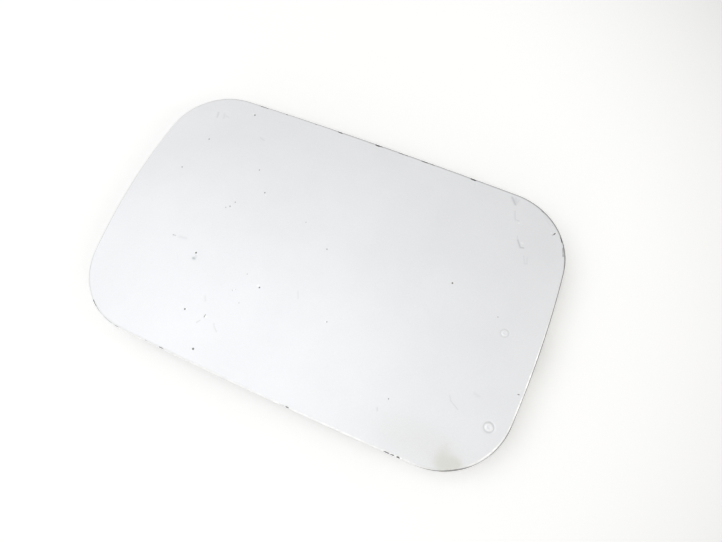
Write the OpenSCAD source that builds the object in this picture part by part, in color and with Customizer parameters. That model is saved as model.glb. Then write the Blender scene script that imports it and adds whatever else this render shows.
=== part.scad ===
// Fuel filler flap of a car: crowned and hemmed outer skin, pressed inner panel,
// sprung hinge with its mounting arm, catch lug and rubber buffers.
// X runs along the flap from the catch end (-X) to the hinge end (+X), Y across it,
// Z up through the painted face. Z = 0 is the mounting face of the hinge arm.

/* [Flap outline] */
// Length of the flap
flap_len = 190; // [150:1:240]
// Width of the flap
flap_w = 119.6; // [110:0.1:150]
// Radius of the bowed hinge end
hinge_end_r = 475; // [250:5:900]
// Radius of the bowed catch end
catch_end_r = 290; // [200:5:900]
// Radius of the long sides, nearly straight
side_r = 3300; // [1500:50:6000]
// Corner radius
corner_r = 28.7; // [26:0.1:40]
// Radius of the crown along the length
crown_len_r = 6000; // [3000:100:12000]
// Radius of the crown across the width
crown_wid_r = 1200; // [900:10:4000]

/* [Sheet metal] */
// Thickness of the outer skin
skin_t = 0.8; // [0.6:0.05:1]
// Thickness of the inner panel
panel_t = 0.8; // [0.6:0.05:1]
// Width of the hem's return flange
hem_w = 9; // [6:0.5:10]
// Clearance between two sheets that lie on each other
lap_gap = 0.05; // [0.02:0.01:0.1]

/* [Inner panel] */
// Width of the flat flange along both long sides
side_flange = 13; // [12:0.5:16]
// Width of the flat flange at the hinge end, which carries the bracket
hinge_flange = 31; // [30:0.5:36]
// Width of the flat flange at the catch end, which carries the lug
catch_flange = 27; // [26:0.5:32]
// Width of the sloping wall round the raised pad
wall_w = 8; // [6:0.5:10]
// Distance of the pad from the skin
pad_depth = 4.5; // [3:0.1:6]
// Corner radius of the pad
pad_corner_r = 15; // [10:0.5:20]
// Width of a stiffening bead
bead_w = 9; // [6:0.5:11]
// Height of a stiffening bead
bead_h = 2; // [1:0.1:2.4]
// Distance between the ends of the pad and the end centres of the beads
bead_end_gap = 25; // [20:0.5:34]
// Distance between the sides of the pad and the middle lines of the beads
bead_side_gap = 19.8; // [17.5:0.1:21]
// Diameter of the lightening holes
light_d = 16; // [10:0.5:18]
// Distance between the ends of the pad and the outer lightening holes
light_end_gap = 26; // [20:0.5:30]
// Diameter of the dip-coat drain holes
drain_d = 5; // [3:0.5:6]
// Width of a strip of mastic between pad and skin
mastic_w = 11; // [8:0.5:12]
// Gap between the ends of a strip of mastic and the beads beside it
mastic_gap = 2; // [1:0.5:4]

/* [Hinge] */
// Height of the pin above the mounting face
pin_h = 7.2; // [7:0.1:9]
// Distance of the pin from the tip of the hinge end
pin_inset = 6.5; // [6.2:0.1:7]
// Diameter of the pin
pin_d = 4; // [3.6:0.1:4.2]
// Radial running clearance of the pin
pin_play = 0.05; // [0.02:0.01:0.08]
// Wall of the plastic bushes
bush_wall = 0.7; // [0.6:0.05:0.8]
// Thickness of the bush flange
bush_flange_t = 0.8; // [0.6:0.1:1]
// Clearance between moving faces of the hinge
swing_gap = 0.3; // [0.25:0.05:0.5]
// Clearance at both stops of the swing
stop_gap = 0.06; // [0.03:0.01:0.1]
// Angle at which the flap meets its open stop
open_angle = 95; // [85:1:100]
// Thickness of the bracket sheet
bracket_t = 1.5; // [1.2:0.1:1.8]
// Width of the bracket between its weld flange ends
bracket_w = 84; // [80:1:92]
// Distance between the inner faces of the pin ears
ear_span = 43; // [38:0.5:48]
// Radius of the ear round the pin
ear_r = 4.1; // [3.6:0.1:4.2]
// Distance between the inner edge of the bracket and its ears
ear_setback = 7; // [6:0.5:9]
// Thickness of the clip that holds the pin
clip_t = 0.7; // [0.5:0.05:0.9]
// Height of the pin's head
head_t = 1.3; // [1:0.1:1.8]

/* [Hinge arm] */
// Thickness of the arm sheet
arm_t = 1.6; // [1.4:0.1:1.7]
// Length of the arm from the pin to the end of its foot
arm_len = 47; // [42:0.5:56]
// Width of the foot
foot_w = 46; // [40:0.5:56]
// Diameter of the screw holes
screw_d = 6.5; // [5:0.1:7]
// Distance between the screw holes
screw_pitch = 26; // [22:0.5:30]
// Distance of the screw holes from the end of the foot
screw_inset = 10; // [8:0.5:14]
// Width of the gap between the eyes, which holds the spring
eye_gap = 16; // [14:0.5:18]
// Length of the stop wings along the arm
wing_len = 7; // [5:0.5:9]
// Length of the joggle between the plate and the foot
joggle_len = 5; // [4:0.5:8]
// Width of the darts pressed into the joggle
dart_w = 3; // [2:0.5:5]
// Diameter of the locating hole between the screws
locate_d = 5; // [3:0.5:6]

/* [Spring] */
// Diameter of the spring wire
wire_d = 1.2; // [0.8:0.1:1.3]
// Radial clearance between the spring and the pin
coil_play = 0.35; // [0.25:0.05:0.5]
// Whole turns of the coil
coil_turns = 5; // [3:1:6]
// Gap between neighbouring turns
turn_gap = 0.3; // [0.2:0.05:0.6]

/* [Catch lug] */
// Thickness of the lug sheet
lug_t = 1.5; // [1.2:0.1:1.8]
// Diameter of the hole for the lock's bolt
bolt_hole_d = 6.2; // [5:0.1:7]
// Metal left round that hole
bolt_land = 3; // [2.5:0.1:3.2]
// Width of the lug's welded foot
lug_foot_w = 24; // [18:0.5:30]
// Length of the lug's welded foot
lug_foot_len = 16; // [12:0.5:17]
// Height of the lug's end above the mounting face
lug_clear = 0.6; // [0.3:0.1:1]

/* [Buffers] */
// Distance of the buffers from the tip of the catch end
buffer_end_gap = 43; // [41:0.5:51]
// Distance of the buffers from the long sides
buffer_side_gap = 29.8; // [27.8:0.1:31.8]
// Diameter of a buffer's collar
buffer_collar_d = 12; // [9:0.5:12]
// Diameter of a buffer's tip
buffer_tip_d = 7.5; // [5:0.5:8]
// Diameter of the hole that a buffer is pushed through
buffer_hole_d = 5.2; // [4:0.1:6]

/* [Hidden] */
$fn = 64;

// Steps along each stretch of the outline
end_steps = 6;
corner_steps = 9;
side_steps = 8;
loop_n = 2 * end_steps + 4 * corner_steps + 2 * side_steps;

// Length by which a cutting or trimming body runs past what it shapes
past = 5;

// Points on the hinge pin's axis and radii round it
half_len = flap_len / 2;
half_w = flap_w / 2;
pin_r = pin_d / 2;
pin_x = half_len - pin_inset;
bush_in_r = pin_r + pin_play;
bush_out_r = bush_in_r + bush_wall;
eye_in_r = bush_out_r + 0.02;
eye_out_r = eye_in_r + arm_t;

// Heights of the stack over the pin: eye, running gap, hem, then the painted face
hem_r = skin_t + panel_t / 2 + lap_gap;
face_over_pin = eye_out_r + swing_gap + 2 * hem_r;
face_z = pin_h + face_over_pin + pin_x * pin_x / (2 * crown_len_r);
panel_top_drop = skin_t + lap_gap;
panel_low_drop = panel_top_drop + panel_t;
seat_drop = panel_low_drop + lap_gap;
pad_top_z = face_z - skin_t - pad_depth;
pad_low_z = pad_top_z - panel_t;

// Extent of the flat pad, and what is placed from its edges
pad_x0 = catch_flange + wall_w - half_len;
pad_x1 = half_len - hinge_flange - wall_w;
pad_mid_x = (pad_x0 + pad_x1) / 2;
bead_len = pad_x1 - pad_x0 - 2 * bead_end_gap;
bead_y = half_w - side_flange - wall_w - bead_side_gap;
mastic_len = 2 * (bead_y - bead_w / 2 - mastic_gap);
light_pitch = (pad_x1 - pad_x0) / 2 - light_end_gap;
light_xs = [for (i = [-1 : 1]) pad_mid_x + i * light_pitch];
buffer_x = half_len - buffer_end_gap;
buffer_y = half_w - buffer_side_gap;

// Height of the painted face above or below a point of the plan
function face(x, y) = face_z - x * x / (2 * crown_len_r) - y * y / (2 * crown_wid_r);

// Point at a radius and an angle from a centre
function polar(c, r, a) = [c[0] + r * cos(a), c[1] + r * sin(a)];

// Where two circles meet above the middle line; side picks the left or right meeting point
function meet(p, rp, q, rq, side) =
    let (d = norm(q - p),
         u = (q - p) / d,
         along = (rp * rp - rq * rq + d * d) / (2 * d),
         across = sqrt(rp * rp - along * along))
    p + u * along + side * across * [-u[1], u[0]];

// Part of an arc as points, without its last one
function arc(c, r, from, to, steps) =
    [for (i = [0 : steps - 1]) polar(c, r, from + (to - from) * i / steps)];

// Closed outline of two bowed ends, two bowed sides and four round corners.
// xh and xc are the reach to the hinge and catch end, w the half width, inset moves it inward.
function outline(xh, xc, w, rh, rc, rs, rk, inset) =
    let (ch = [xh - rh, 0],
         cc = [rc - xc, 0],
         ct = [0, w - rs],
         cb = [0, rs - w],
         kh = meet(ct, rs - rk, ch, rh - rk, -1),
         kc = meet(ct, rs - rk, cc, rc - rk, 1),
         ah = atan2(kh[1], kh[0] - ch[0]),
         bh = atan2(kh[1] - ct[1], kh[0]),
         bc = atan2(kc[1] - ct[1], kc[0]),
         ac = atan2(kc[1], kc[0] - cc[0]))
    concat(
        arc(ch, rh - inset, -ah, ah, end_steps),
        arc(kh, rk - inset, ah, bh, corner_steps),
        arc(ct, rs - inset, bh, bc, side_steps),
        arc(kc, rk - inset, bc, ac, corner_steps),
        arc(cc, rc - inset, ac, 360 - ac, end_steps),
        arc([kc[0], -kc[1]], rk - inset, 360 - ac, 360 - bc, corner_steps),
        arc(cb, rs - inset, 360 - bc, 360 - bh, side_steps),
        arc([kh[0], -kh[1]], rk - inset, -bh, -ah, corner_steps));

// Outline of the flap, moved inward
function rim(inset) =
    outline(half_len, half_len, half_w, hinge_end_r, catch_end_r, side_r, corner_r, inset);

// Outline at the foot of the inner panel's wall, and at its pad
function wall_rim(inset) =
    outline(half_len - hinge_flange, half_len - catch_flange, half_w - side_flange,
            hinge_end_r, catch_end_r, side_r, pad_corner_r + wall_w, inset);

// Ring of points that lies a drop below the painted face, pulled to the middle by a scale
function ring(plan, drop, scale = 1) =
    [for (p = plan) [p[0] * scale, p[1] * scale, face(p[0] * scale, p[1] * scale) - drop]];

// Faces between neighbouring rings, and the fans that close the first and last ring
function band_faces(rings) =
    [for (k = [0 : rings - 2], i = [0 : loop_n - 1])
        let (a = k * loop_n + i, b = k * loop_n + (i + 1) % loop_n)
        each [[a, b, a + loop_n], [b, b + loop_n, a + loop_n]]];
function fan_faces(first, hub, flip) =
    [for (i = [0 : loop_n - 1])
        let (a = first + i, b = first + (i + 1) % loop_n)
        flip ? [b, a, hub] : [a, b, hub]];

// Closed sheet through rings that start and end round the middle of the flap
module sheet(rings, top_hub, low_hub) {
    count = len(rings);
    points = concat([for (r = rings) each r], [top_hub, low_hub]);
    polyhedron(
        points,
        concat(band_faces(count),
               fan_faces(0, count * loop_n, true),
               fan_faces((count - 1) * loop_n, count * loop_n + 1, false)));
}

// Crowned sheet with its edge rolled over and closed flat on the inner panel
module outer_skin() {
    inner_r = hem_r - skin_t;
    core = 0.84 * corner_r;
    roll = [0, 30, 60, 90, 120, 150, 180];
    bend = [180, 120, 60, 0];
    rings = concat(
        [for (s = [0.33, 0.66, 1]) ring(rim(core), 0, s)],
        [ring(rim(core / 2), 0)],
        [for (a = roll) ring(rim(hem_r - hem_r * sin(a)), hem_r - hem_r * cos(a))],
        [ring(rim(hem_w), 2 * hem_r), ring(rim(hem_w), 2 * hem_r - skin_t)],
        [for (a = bend) ring(rim(hem_r - inner_r * sin(a)), hem_r - inner_r * cos(a))],
        [ring(rim(core / 2), skin_t)],
        [for (s = [1, 0.66, 0.33]) ring(rim(core), skin_t, s)]);
    color([0.78, 0.79, 0.82])
        sheet(rings, [0, 0, face_z], [0, 0, face_z - skin_t]);
}

// Share of the wall's fall at a share of its width, with soft bends at both ends
function ease(t) = t * t * (3 - 2 * t);

// Ring part way between the edge of the inner panel and the top of its wall
function flange_ring(t, edge, drop) =
    let (a = rim(edge), b = wall_rim(0))
    ring([for (i = [0 : loop_n - 1]) a[i] * (1 - t) + b[i] * t], drop);

// Ring part way down the wall between flange and pad
function wall_ring(t, drop, pad_z, spread) =
    [for (p = wall_rim(wall_w * t - spread * sin(180 * t)))
        [p[0], p[1], (face(p[0], p[1]) - drop) * (1 - ease(t)) + pad_z * ease(t)]];

// Long bead with round ends: a length of bar cut off by the pad's face
module bead_form(grow) {
    r = (bead_w * bead_w / 4 + bead_h * bead_h) / (2 * bead_h);
    translate([0, 0, bead_h - r]) {
        rotate([0, 90, 0])
            cylinder(h = bead_len, r = r + grow, center = true);
        for (s = [-1, 1])
            translate([s * bead_len / 2, 0, 0])
                sphere(r = r + grow);
    }
}

// Pressed panel: flange that follows the skin, sloping wall, flat pad with beads and holes
module inner_panel() {
    edge = hem_r + lap_gap;
    slope = [0, 0.2, 0.4, 0.6, 0.8, 1];
    spread = panel_t / 4;
    rings = concat(
        [for (t = [1, 0.8, 0.6, 0.4, 0.2, 0]) wall_ring(t, panel_top_drop, pad_top_z, 0)],
        [for (t = [0.67, 0.33, 0]) flange_ring(t, edge, panel_top_drop)],
        [for (t = [0, 0.33, 0.67]) flange_ring(t, edge, panel_low_drop)],
        [for (t = slope) wall_ring(t, panel_low_drop, pad_low_z, spread)]);
    color([0.70, 0.71, 0.73])
        difference() {
            union() {
                sheet(rings, [0, 0, pad_top_z], [0, 0, pad_low_z]);
                for (s = [-1, 1])
                    translate([pad_mid_x, s * bead_y, pad_top_z])
                        intersection() {
                            bead_form(0);
                            translate([-bead_len, -bead_w, -panel_t / 2])
                                cube([2 * bead_len, 2 * bead_w, bead_h + panel_t]);
                        }
            }
            for (s = [-1, 1])
                translate([pad_mid_x, s * bead_y, pad_top_z])
                    bead_form(-panel_t);
            for (x = light_xs)
                translate([x, 0, pad_low_z - 1])
                    cylinder(h = panel_t + 2, d = light_d);
            for (s = [-1, 1])
                translate([-buffer_x, s * buffer_y, pad_low_z - 1])
                    cylinder(h = panel_t + 2, d = buffer_hole_d);
            for (x = light_xs, s = [-1, 1])
                translate([x, s * (bead_y + bead_w / 2 + drain_d), pad_low_z - 1])
                    cylinder(h = panel_t + 2, d = drain_d);
        }
}

// Anti-flutter mastic between pad and skin, squeezed to a strip with round ends
module mastic_pad(x) {
    reach = (mastic_len - mastic_w) / 2;
    skin_low_z = face(abs(x) + mastic_w, reach + mastic_w) - skin_t;
    color([0.16, 0.16, 0.17])
        translate([x, 0, pad_top_z + lap_gap])
            linear_extrude(skin_low_z - pad_top_z - 2 * lap_gap) {
                for (s = [-1, 1])
                    translate([0, s * reach])
                        circle(d = mastic_w);
                square([mastic_w, 2 * reach], center = true);
            }
}
module mastic_pad_left() { mastic_pad(pad_mid_x - light_pitch / 2); }
module mastic_pad_right() { mastic_pad(pad_mid_x + light_pitch / 2); }

// Rectangle with round corners, from one corner to the other
module round_rect(low, high, r) {
    for (x = [low[0] + r, high[0] - r], y = [low[1] + r, high[1] - r])
        translate([x, y])
            circle(r = r);
    translate([low[0] + r, low[1]])
        square([high[0] - low[0] - 2 * r, high[1] - low[1]]);
    translate([low[0], low[1] + r])
        square([high[0] - low[0], high[1] - low[1] - 2 * r]);
}

// Bracket base between the wall of the inner panel and the hem
base_x0 = half_len - hinge_flange + 2.5 * panel_t;
base_x1 = half_len - hem_w - swing_gap;
base_mid_x = (base_x0 + base_x1) / 2;
base_top_z = face(base_mid_x, 0) - seat_drop;
base_low_z = base_top_z - bracket_t;
ear_x0 = base_x0 + ear_setback;
ear_out_y = ear_span / 2 + bracket_t;
ear_x1 = base_x1 - ear_out_y * ear_out_y / (2 * hinge_end_r);

// Wings of the arm that carry the closed stop and the open stop
wing_front = ear_r + swing_gap + arm_t / 2;
wing_back = wing_front + wing_len;
arm_top_z = pin_h - eye_out_r + arm_t;

// Lower corner of the ear's toe, which meets the wings when the flap is open
toe_x = 1.05 * ear_r;
toe_low = (wing_front - stop_gap + toe_x * cos(open_angle)) / sin(open_angle);

// Side view of an ear in the X-Z plane round the pin
module ear_profile() {
    roof = base_low_z + bracket_t / 2 - pin_h;
    heel = arm_top_z + stop_gap - pin_h;
    difference() {
        union() {
            circle(r = ear_r);
            polygon([
                [ear_x0 - pin_x, roof],
                [ear_x1 - pin_x, roof],
                [ear_x1 - pin_x, ear_r],
                [0, ear_r],
                [0, heel],
                [-wing_back + 0.5, heel]]);
            polygon([
                [0, 0],
                [ear_r, 0],
                [toe_x, -toe_low + 1],
                [toe_x, -toe_low],
                [toe_x - 2, -toe_low],
                [0, -ear_r + 0.2]]);
        }
        circle(r = pin_r + 0.02);
    }
}

// Folded bracket: crowned base strip with two ears cut from it and bent down
module hinge_bracket() {
    bend_in_r = 0.8;
    tilt = atan(base_mid_x / crown_len_r);
    strip_r = crown_wid_r;
    strip_len = base_x1 - base_x0 + 2 * past;
    base_corner_r = 4;
    window_w = 9;
    color([0.62, 0.62, 0.60])
        difference() {
            union() {
                intersection() {
                    translate([base_mid_x, 0, base_top_z])
                        rotate([0, tilt, 0])
                            translate([0, 0, -strip_r])
                                rotate([0, 90, 0])
                                    difference() {
                                        cylinder(h = strip_len, r = strip_r, center = true, $fn = 360);
                                        cylinder(h = strip_len + 2 * past, r = strip_r - bracket_t,
                                                 center = true, $fn = 360);
                                    }
                    translate([0, 0, base_low_z - past])
                        linear_extrude(bracket_t + 2 * past)
                            intersection() {
                                round_rect([base_x0, -bracket_w / 2], [base_x1, bracket_w / 2],
                                           base_corner_r);
                                polygon(rim(hem_w + swing_gap));
                            }
                }
                for (s = [-1, 1])
                    translate([pin_x, s * (ear_span + bracket_t) / 2, pin_h])
                        rotate([90, 0, 0])
                            linear_extrude(bracket_t, center = true)
                                ear_profile();
                for (s = [-1, 1])
                    bracket_fold(s, bend_in_r);
            }
            for (s = [-1, 1])
                translate([ear_x0 - 1, s > 0 ? ear_out_y : -ear_out_y - window_w, base_low_z - past])
                    cube([base_x1 - ear_x0 + past, window_w, bracket_t + 2 * past]);
        }
}

// Inner fillet of the fold between base and ear
module bracket_fold(side, r) {
    fold_y = side * (ear_span / 2 - r);
    fold_z = base_low_z - 0.2 - r;
    intersection() {
        translate([ear_x0, fold_y, fold_z])
            rotate([0, 90, 0])
                difference() {
                    translate([-2 * r, side > 0 ? 0 : -2 * r, 0])
                        cube([2 * r, 2 * r, ear_x1 - ear_x0]);
                    translate([0, 0, -1])
                        cylinder(h = ear_x1 - ear_x0 + 2, r = r);
                }
        translate([ear_x0, fold_y - 2 * r, fold_z])
            cube([ear_x1 - ear_x0, 4 * r, 2 * r]);
    }
}

// Places along the pin, counted from its middle
clip_y = ear_out_y + 3 * lap_gap;
pin_end_y = clip_y + 3 * clip_t;
head_y = -ear_out_y - lap_gap;
groove_r = 0.75 * pin_r;

// Headed pin with a ring groove and chamfered ends, turned about its own axis
module hinge_pin() {
    color([0.75, 0.72, 0.60])
        translate([pin_x, 0, pin_h])
            rotate([-90, 0, 0])
                rotate_extrude()
                    polygon([
                        [0, head_y - head_t],
                        [pin_r + 0.9, head_y - head_t],
                        [pin_r + 1.4, head_y - head_t + 0.5],
                        [pin_r + 1.4, head_y],
                        [pin_r, head_y],
                        [pin_r, clip_y - 0.05],
                        [groove_r, clip_y - 0.05],
                        [groove_r, clip_y + clip_t + 0.05],
                        [pin_r, clip_y + clip_t + 0.05],
                        [pin_r, pin_end_y - 0.5],
                        [pin_r - 0.5, pin_end_y],
                        [0, pin_end_y]]);
}

// Retaining ring with three prongs and a side opening
module pin_clip() {
    clip_r = pin_r + 1.9;
    relief_r = 0.75;
    color([0.45, 0.45, 0.47])
        translate([pin_x, clip_y, pin_h])
            rotate([-90, 0, 0])
                linear_extrude(clip_t)
                    difference() {
                        circle(r = clip_r);
                        circle(r = groove_r + 0.03);
                        translate([0, -groove_r * 0.8])
                            square([clip_r + 1, groove_r * 1.6]);
                        for (a = [-110, 110])
                            translate(polar([0, 0], groove_r + relief_r, a))
                                circle(r = relief_r);
                    }
}

// Ends of the eyes along the pin
eye_y0 = eye_gap / 2;
eye_y1 = ear_span / 2 - 0.1 - bush_flange_t - 0.05;

// Flanged bush in one eye, its flange against the ear
module bush(side) {
    color([0.93, 0.92, 0.88])
        translate([pin_x, 0, pin_h])
            rotate([-90 * side, 0, 0])
                rotate_extrude()
                    polygon([
                        [bush_in_r, eye_y0 + 0.1],
                        [bush_out_r, eye_y0 + 0.1],
                        [bush_out_r, eye_y1 + 0.05],
                        [bush_out_r + 1.1, eye_y1 + 0.05],
                        [bush_out_r + 1.1, eye_y1 + 0.05 + bush_flange_t],
                        [bush_in_r, eye_y1 + 0.05 + bush_flange_t]]);
}
module bush_upper() { bush(1); }
module bush_lower() { bush(-1); }

// Joggle of the arm between its raised plate and its foot
joggle_x1 = pin_x - wing_back - 2 * arm_t;
joggle_x0 = joggle_x1 - joggle_len;
foot_x0 = pin_x - arm_len;
plate_low_z = pin_h - eye_out_r;

// Sheet from the foot up to the eyes, as a side view in the X-Z plane
module arm_profile() {
    lean = arm_t * tan(atan2(plate_low_z, joggle_x1 - joggle_x0) / 2);
    polygon([
        [foot_x0, 0],
        [joggle_x0, 0],
        [joggle_x1, plate_low_z],
        [pin_x, plate_low_z],
        [pin_x, plate_low_z + arm_t],
        [joggle_x1 - lean, plate_low_z + arm_t],
        [joggle_x0 - lean, arm_t],
        [foot_x0, arm_t]]);
}

// Plan of the arm: foot, stop wings, neck and the notch for the spring
module arm_plan() {
    neck_w = 2 * eye_y1;
    wing_w = 2 * (ear_out_y + 1);
    notch_reach = eye_out_r + 2 * pin_r + wire_r;
    difference() {
        union() {
            round_rect([foot_x0, -foot_w / 2], [joggle_x1 + 2 * arm_t, foot_w / 2], 5);
            round_rect([pin_x - wing_back, -wing_w / 2], [pin_x - wing_front, wing_w / 2], 1.2);
            translate([joggle_x1, -neck_w / 2])
                square([pin_x - joggle_x1, neck_w]);
        }
        round_rect([pin_x - notch_reach, -eye_gap / 2], [pin_x + notch_reach, eye_gap / 2], 2);
    }
}

// Eye rolled from the sheet: a ring left open where its end comes back over the plate
module rolled_eye(side) {
    translate([pin_x, side * (eye_y0 + eye_y1) / 2, pin_h])
        rotate([90, 0, 0])
            linear_extrude(eye_y1 - eye_y0, center = true)
                difference() {
                    circle(r = eye_out_r);
                    circle(r = eye_in_r);
                    polygon([
                        [0, 0],
                        polar([0, 0], 3 * eye_out_r, 195),
                        polar([0, 0], 3 * eye_out_r, 232)]);
                }
}

// Stamped mounting arm with two eyes, stop wings, joggle, darts and screw holes
module hinge_arm() {
    screw_x = foot_x0 + screw_inset;
    color([0.66, 0.65, 0.60])
        difference() {
            union() {
                intersection() {
                    rotate([90, 0, 0])
                        linear_extrude(2 * foot_w, center = true)
                            arm_profile();
                    linear_extrude(4 * pin_h)
                        arm_plan();
                }
                for (s = [-1, 1])
                    rolled_eye(s);
                for (s = [-1, 1])
                    translate([0, s * screw_pitch / 2, 0])
                        rotate([90, 0, 0])
                            linear_extrude(dart_w, center = true)
                                polygon([
                                    [joggle_x0 - 4, arm_t / 2],
                                    [joggle_x0 - 4, arm_t],
                                    [joggle_x1 - 1.5, plate_low_z + arm_t],
                                    [joggle_x1 - 1.5, plate_low_z + arm_t / 2]]);
            }
            translate([pin_x, 0, pin_h])
                rotate([90, 0, 0])
                    cylinder(h = 2 * foot_w, r = eye_in_r, center = true);
            for (s = [-1, 1])
                translate([screw_x, s * screw_pitch / 2, -1])
                    cylinder(h = arm_t + 2, d = screw_d);
            translate([screw_x + 0.8 * locate_d, 0, -1])
                cylinder(h = arm_t + 2, d = locate_d);
        }
}

// Centre line of the spring: arm leg under the plate, coil, flap leg, foot along the hem
wire_r = wire_d / 2;
coil_r = pin_r + coil_play + wire_r;
coil_pitch = wire_d + turn_gap;
function bearing(p) = atan2(p[1], p[0]);
function touch(p) = acos(coil_r / norm(p));
arm_leg_z = -eye_out_r - wire_r - lap_gap;
arm_leg_x = -eye_out_r - pin_d;
arm_leg_end = -wing_back - 2.5 * wire_r;
flap_leg = [6 * wire_r, eye_out_r + swing_gap - wire_r - 3 * lap_gap];
coil_from = bearing([arm_leg_x, arm_leg_z]) + 360 + touch([arm_leg_x, arm_leg_z]);
coil_to = bearing(flap_leg) - touch(flap_leg) + 360 * (coil_turns + 1);
coil_half = coil_pitch * (coil_to - coil_from) / 720;
flap_foot = 6 * wire_r;
coil_steps = 16 * (coil_turns + 1);

// Points of the wire round the pin, as X, Y, Z from the pin's middle
spring_path = concat(
    [[arm_leg_end, -coil_half, arm_leg_z],
     [arm_leg_x - 0.8 * wire_r, -coil_half, arm_leg_z],
     [arm_leg_x + 0.7 * wire_r, -coil_half, arm_leg_z + wire_r / 6]],
    [for (i = [0 : coil_steps])
        let (a = coil_from + (coil_to - coil_from) * i / coil_steps)
        [coil_r * cos(a), -coil_half + 2 * coil_half * i / coil_steps, coil_r * sin(a)]],
    [[flap_leg[0] - wire_r / 2, coil_half, flap_leg[1] - 1.5 * wire_r],
     [flap_leg[0] - wire_r / 12, coil_half + wire_r / 2, flap_leg[1] - 0.4 * wire_r],
     [flap_leg[0], coil_half + 1.5 * wire_r, flap_leg[1]],
     [flap_leg[0], coil_half + flap_foot, flap_leg[1]]]);

function unit(v) = v / norm(v);
function heading(path, i) =
    unit(path[min(i + 1, len(path) - 1)] - path[max(i - 1, 0)]);
function flat_on(v, t) = unit(v - t * (v * t));

// Tube of a round wire along a path, with eight sides
module wire(path, r) {
    sides = 8;
    last = len(path) - 1;
    normals = [for (i = 0, n = flat_on([0, 1, 0.01], heading(path, 0));
                    i <= last;
                    i = i + 1, n = flat_on(n, heading(path, min(i, last)))) n];
    points = [for (i = [0 : last], k = [0 : sides - 1])
        let (t = heading(path, i), n = flat_on(normals[i], t), a = 360 * k / sides)
        path[i] + r * (cos(a) * n + sin(a) * cross(t, n))];
    faces = concat(
        [[for (k = [sides - 1 : -1 : 0]) k]],
        [for (i = [0 : last - 1], k = [0 : sides - 1])
            let (a = i * sides + k, b = i * sides + (k + 1) % sides)
            each [[a, b, b + sides], [a, b + sides, a + sides]]],
        [[for (k = [0 : sides - 1]) last * sides + k]]);
    polyhedron(points, faces);
}

// Closing spring of round wire
module torsion_spring() {
    color([0.35, 0.35, 0.37])
        translate([pin_x, 0, pin_h])
            wire(spring_path, wire_r);
}

// Places of the lug: its leg hangs just inside the hem of the catch end
lug_x = -half_len + hem_w + swing_gap;
lug_hole_z = lug_clear + bolt_land + bolt_hole_d / 2;
lug_roof_z = face(lug_x, lug_foot_w / 2) - seat_drop;

// Folded lug with a welded foot and the hole that the lock's bolt enters
module catch_lug() {
    leg_r = bolt_hole_d / 2 + bolt_land;
    bend_r = lug_t + 1;
    color([0.66, 0.65, 0.60])
        difference() {
            union() {
                translate([lug_x, 0, lug_hole_z])
                    rotate([90, 0, 90])
                        linear_extrude(lug_t) {
                            intersection() {
                                circle(r = leg_r);
                                translate([-leg_r, -2 * leg_r])
                                    square([2 * leg_r, 2 * leg_r + 0.1]);
                            }
                            polygon([
                                [-leg_r, 0],
                                [leg_r, 0],
                                [leg_r, 2],
                                [lug_foot_w / 2 - 3, lug_roof_z - bend_r - lug_hole_z],
                                [-lug_foot_w / 2 + 3, lug_roof_z - bend_r - lug_hole_z],
                                [-leg_r, 2]]);
                        }
                translate([lug_x + bend_r, 0, lug_roof_z - bend_r])
                    rotate([90, 0, 0])
                        linear_extrude(lug_foot_w - 6, center = true)
                            intersection() {
                                difference() {
                                    circle(r = bend_r);
                                    circle(r = bend_r - lug_t);
                                }
                                translate([-2 * bend_r, 0])
                                    square(2 * bend_r);
                            }
                translate([0, 0, lug_roof_z - lug_t])
                    linear_extrude(lug_t)
                        union() {
                            translate([lug_x + bend_r, -lug_foot_w / 2 + 3])
                                square([lug_foot_len / 2, lug_foot_w - 6]);
                            round_rect([lug_x + bend_r + 1.5, -lug_foot_w / 2],
                                       [lug_x + lug_foot_len, lug_foot_w / 2], 3);
                        }
            }
            translate([lug_x - 1, 0, lug_hole_z])
                rotate([0, 90, 0])
                    cylinder(h = lug_t + 2, d = bolt_hole_d);
        }
}

// Push-in rubber buffer: tip on the ground, collar on the pad, bulb behind it
module buffer(side) {
    collar_r = buffer_collar_d / 2;
    tip_r = buffer_tip_d / 2;
    neck_r = buffer_hole_d / 2 - 0.02;
    seat = pad_low_z - lap_gap;
    back = pad_top_z + lap_gap;
    bulb_h = buffer_hole_d / 2;
    color([0.10, 0.10, 0.11])
        translate([-buffer_x, side * buffer_y, 0])
            rotate_extrude()
                polygon([
                    [0, 0],
                    [tip_r - 0.8, 0],
                    [tip_r - 0.2, 0.25],
                    [tip_r, 0.9],
                    [tip_r + 0.6, seat - 3],
                    [tip_r - 0.4, seat - 2.6],
                    [tip_r - 0.4, seat - 1.9],
                    [collar_r - 0.6, seat - 1.5],
                    [collar_r, seat - 1.1],
                    [collar_r, seat],
                    [neck_r, seat],
                    [neck_r, back],
                    [neck_r + 0.9, back],
                    [neck_r + 0.7, back + 0.8],
                    [neck_r - 0.4, back + bulb_h - 0.2],
                    [0, back + bulb_h]]);
}
module buffer_upper() { buffer(1); }
module buffer_lower() { buffer(-1); }

outer_skin();
inner_panel();
mastic_pad_left();
mastic_pad_right();
hinge_bracket();
hinge_pin();
pin_clip();
hinge_arm();
bush_upper();
bush_lower();
torsion_spring();
catch_lug();
buffer_upper();
buffer_lower();
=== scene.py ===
"""Looks of the fuel filler flap: worn silver paint over a crowned, hemmed skin, a pressed inner
panel and a sprung hinge, on a plain white floor. Lengths are millimetres until a mesh is made."""

import math

import bpy
import numpy as np
from mathutils import Matrix, Vector
from mathutils.geometry import delaunay_2d_cdt


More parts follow.
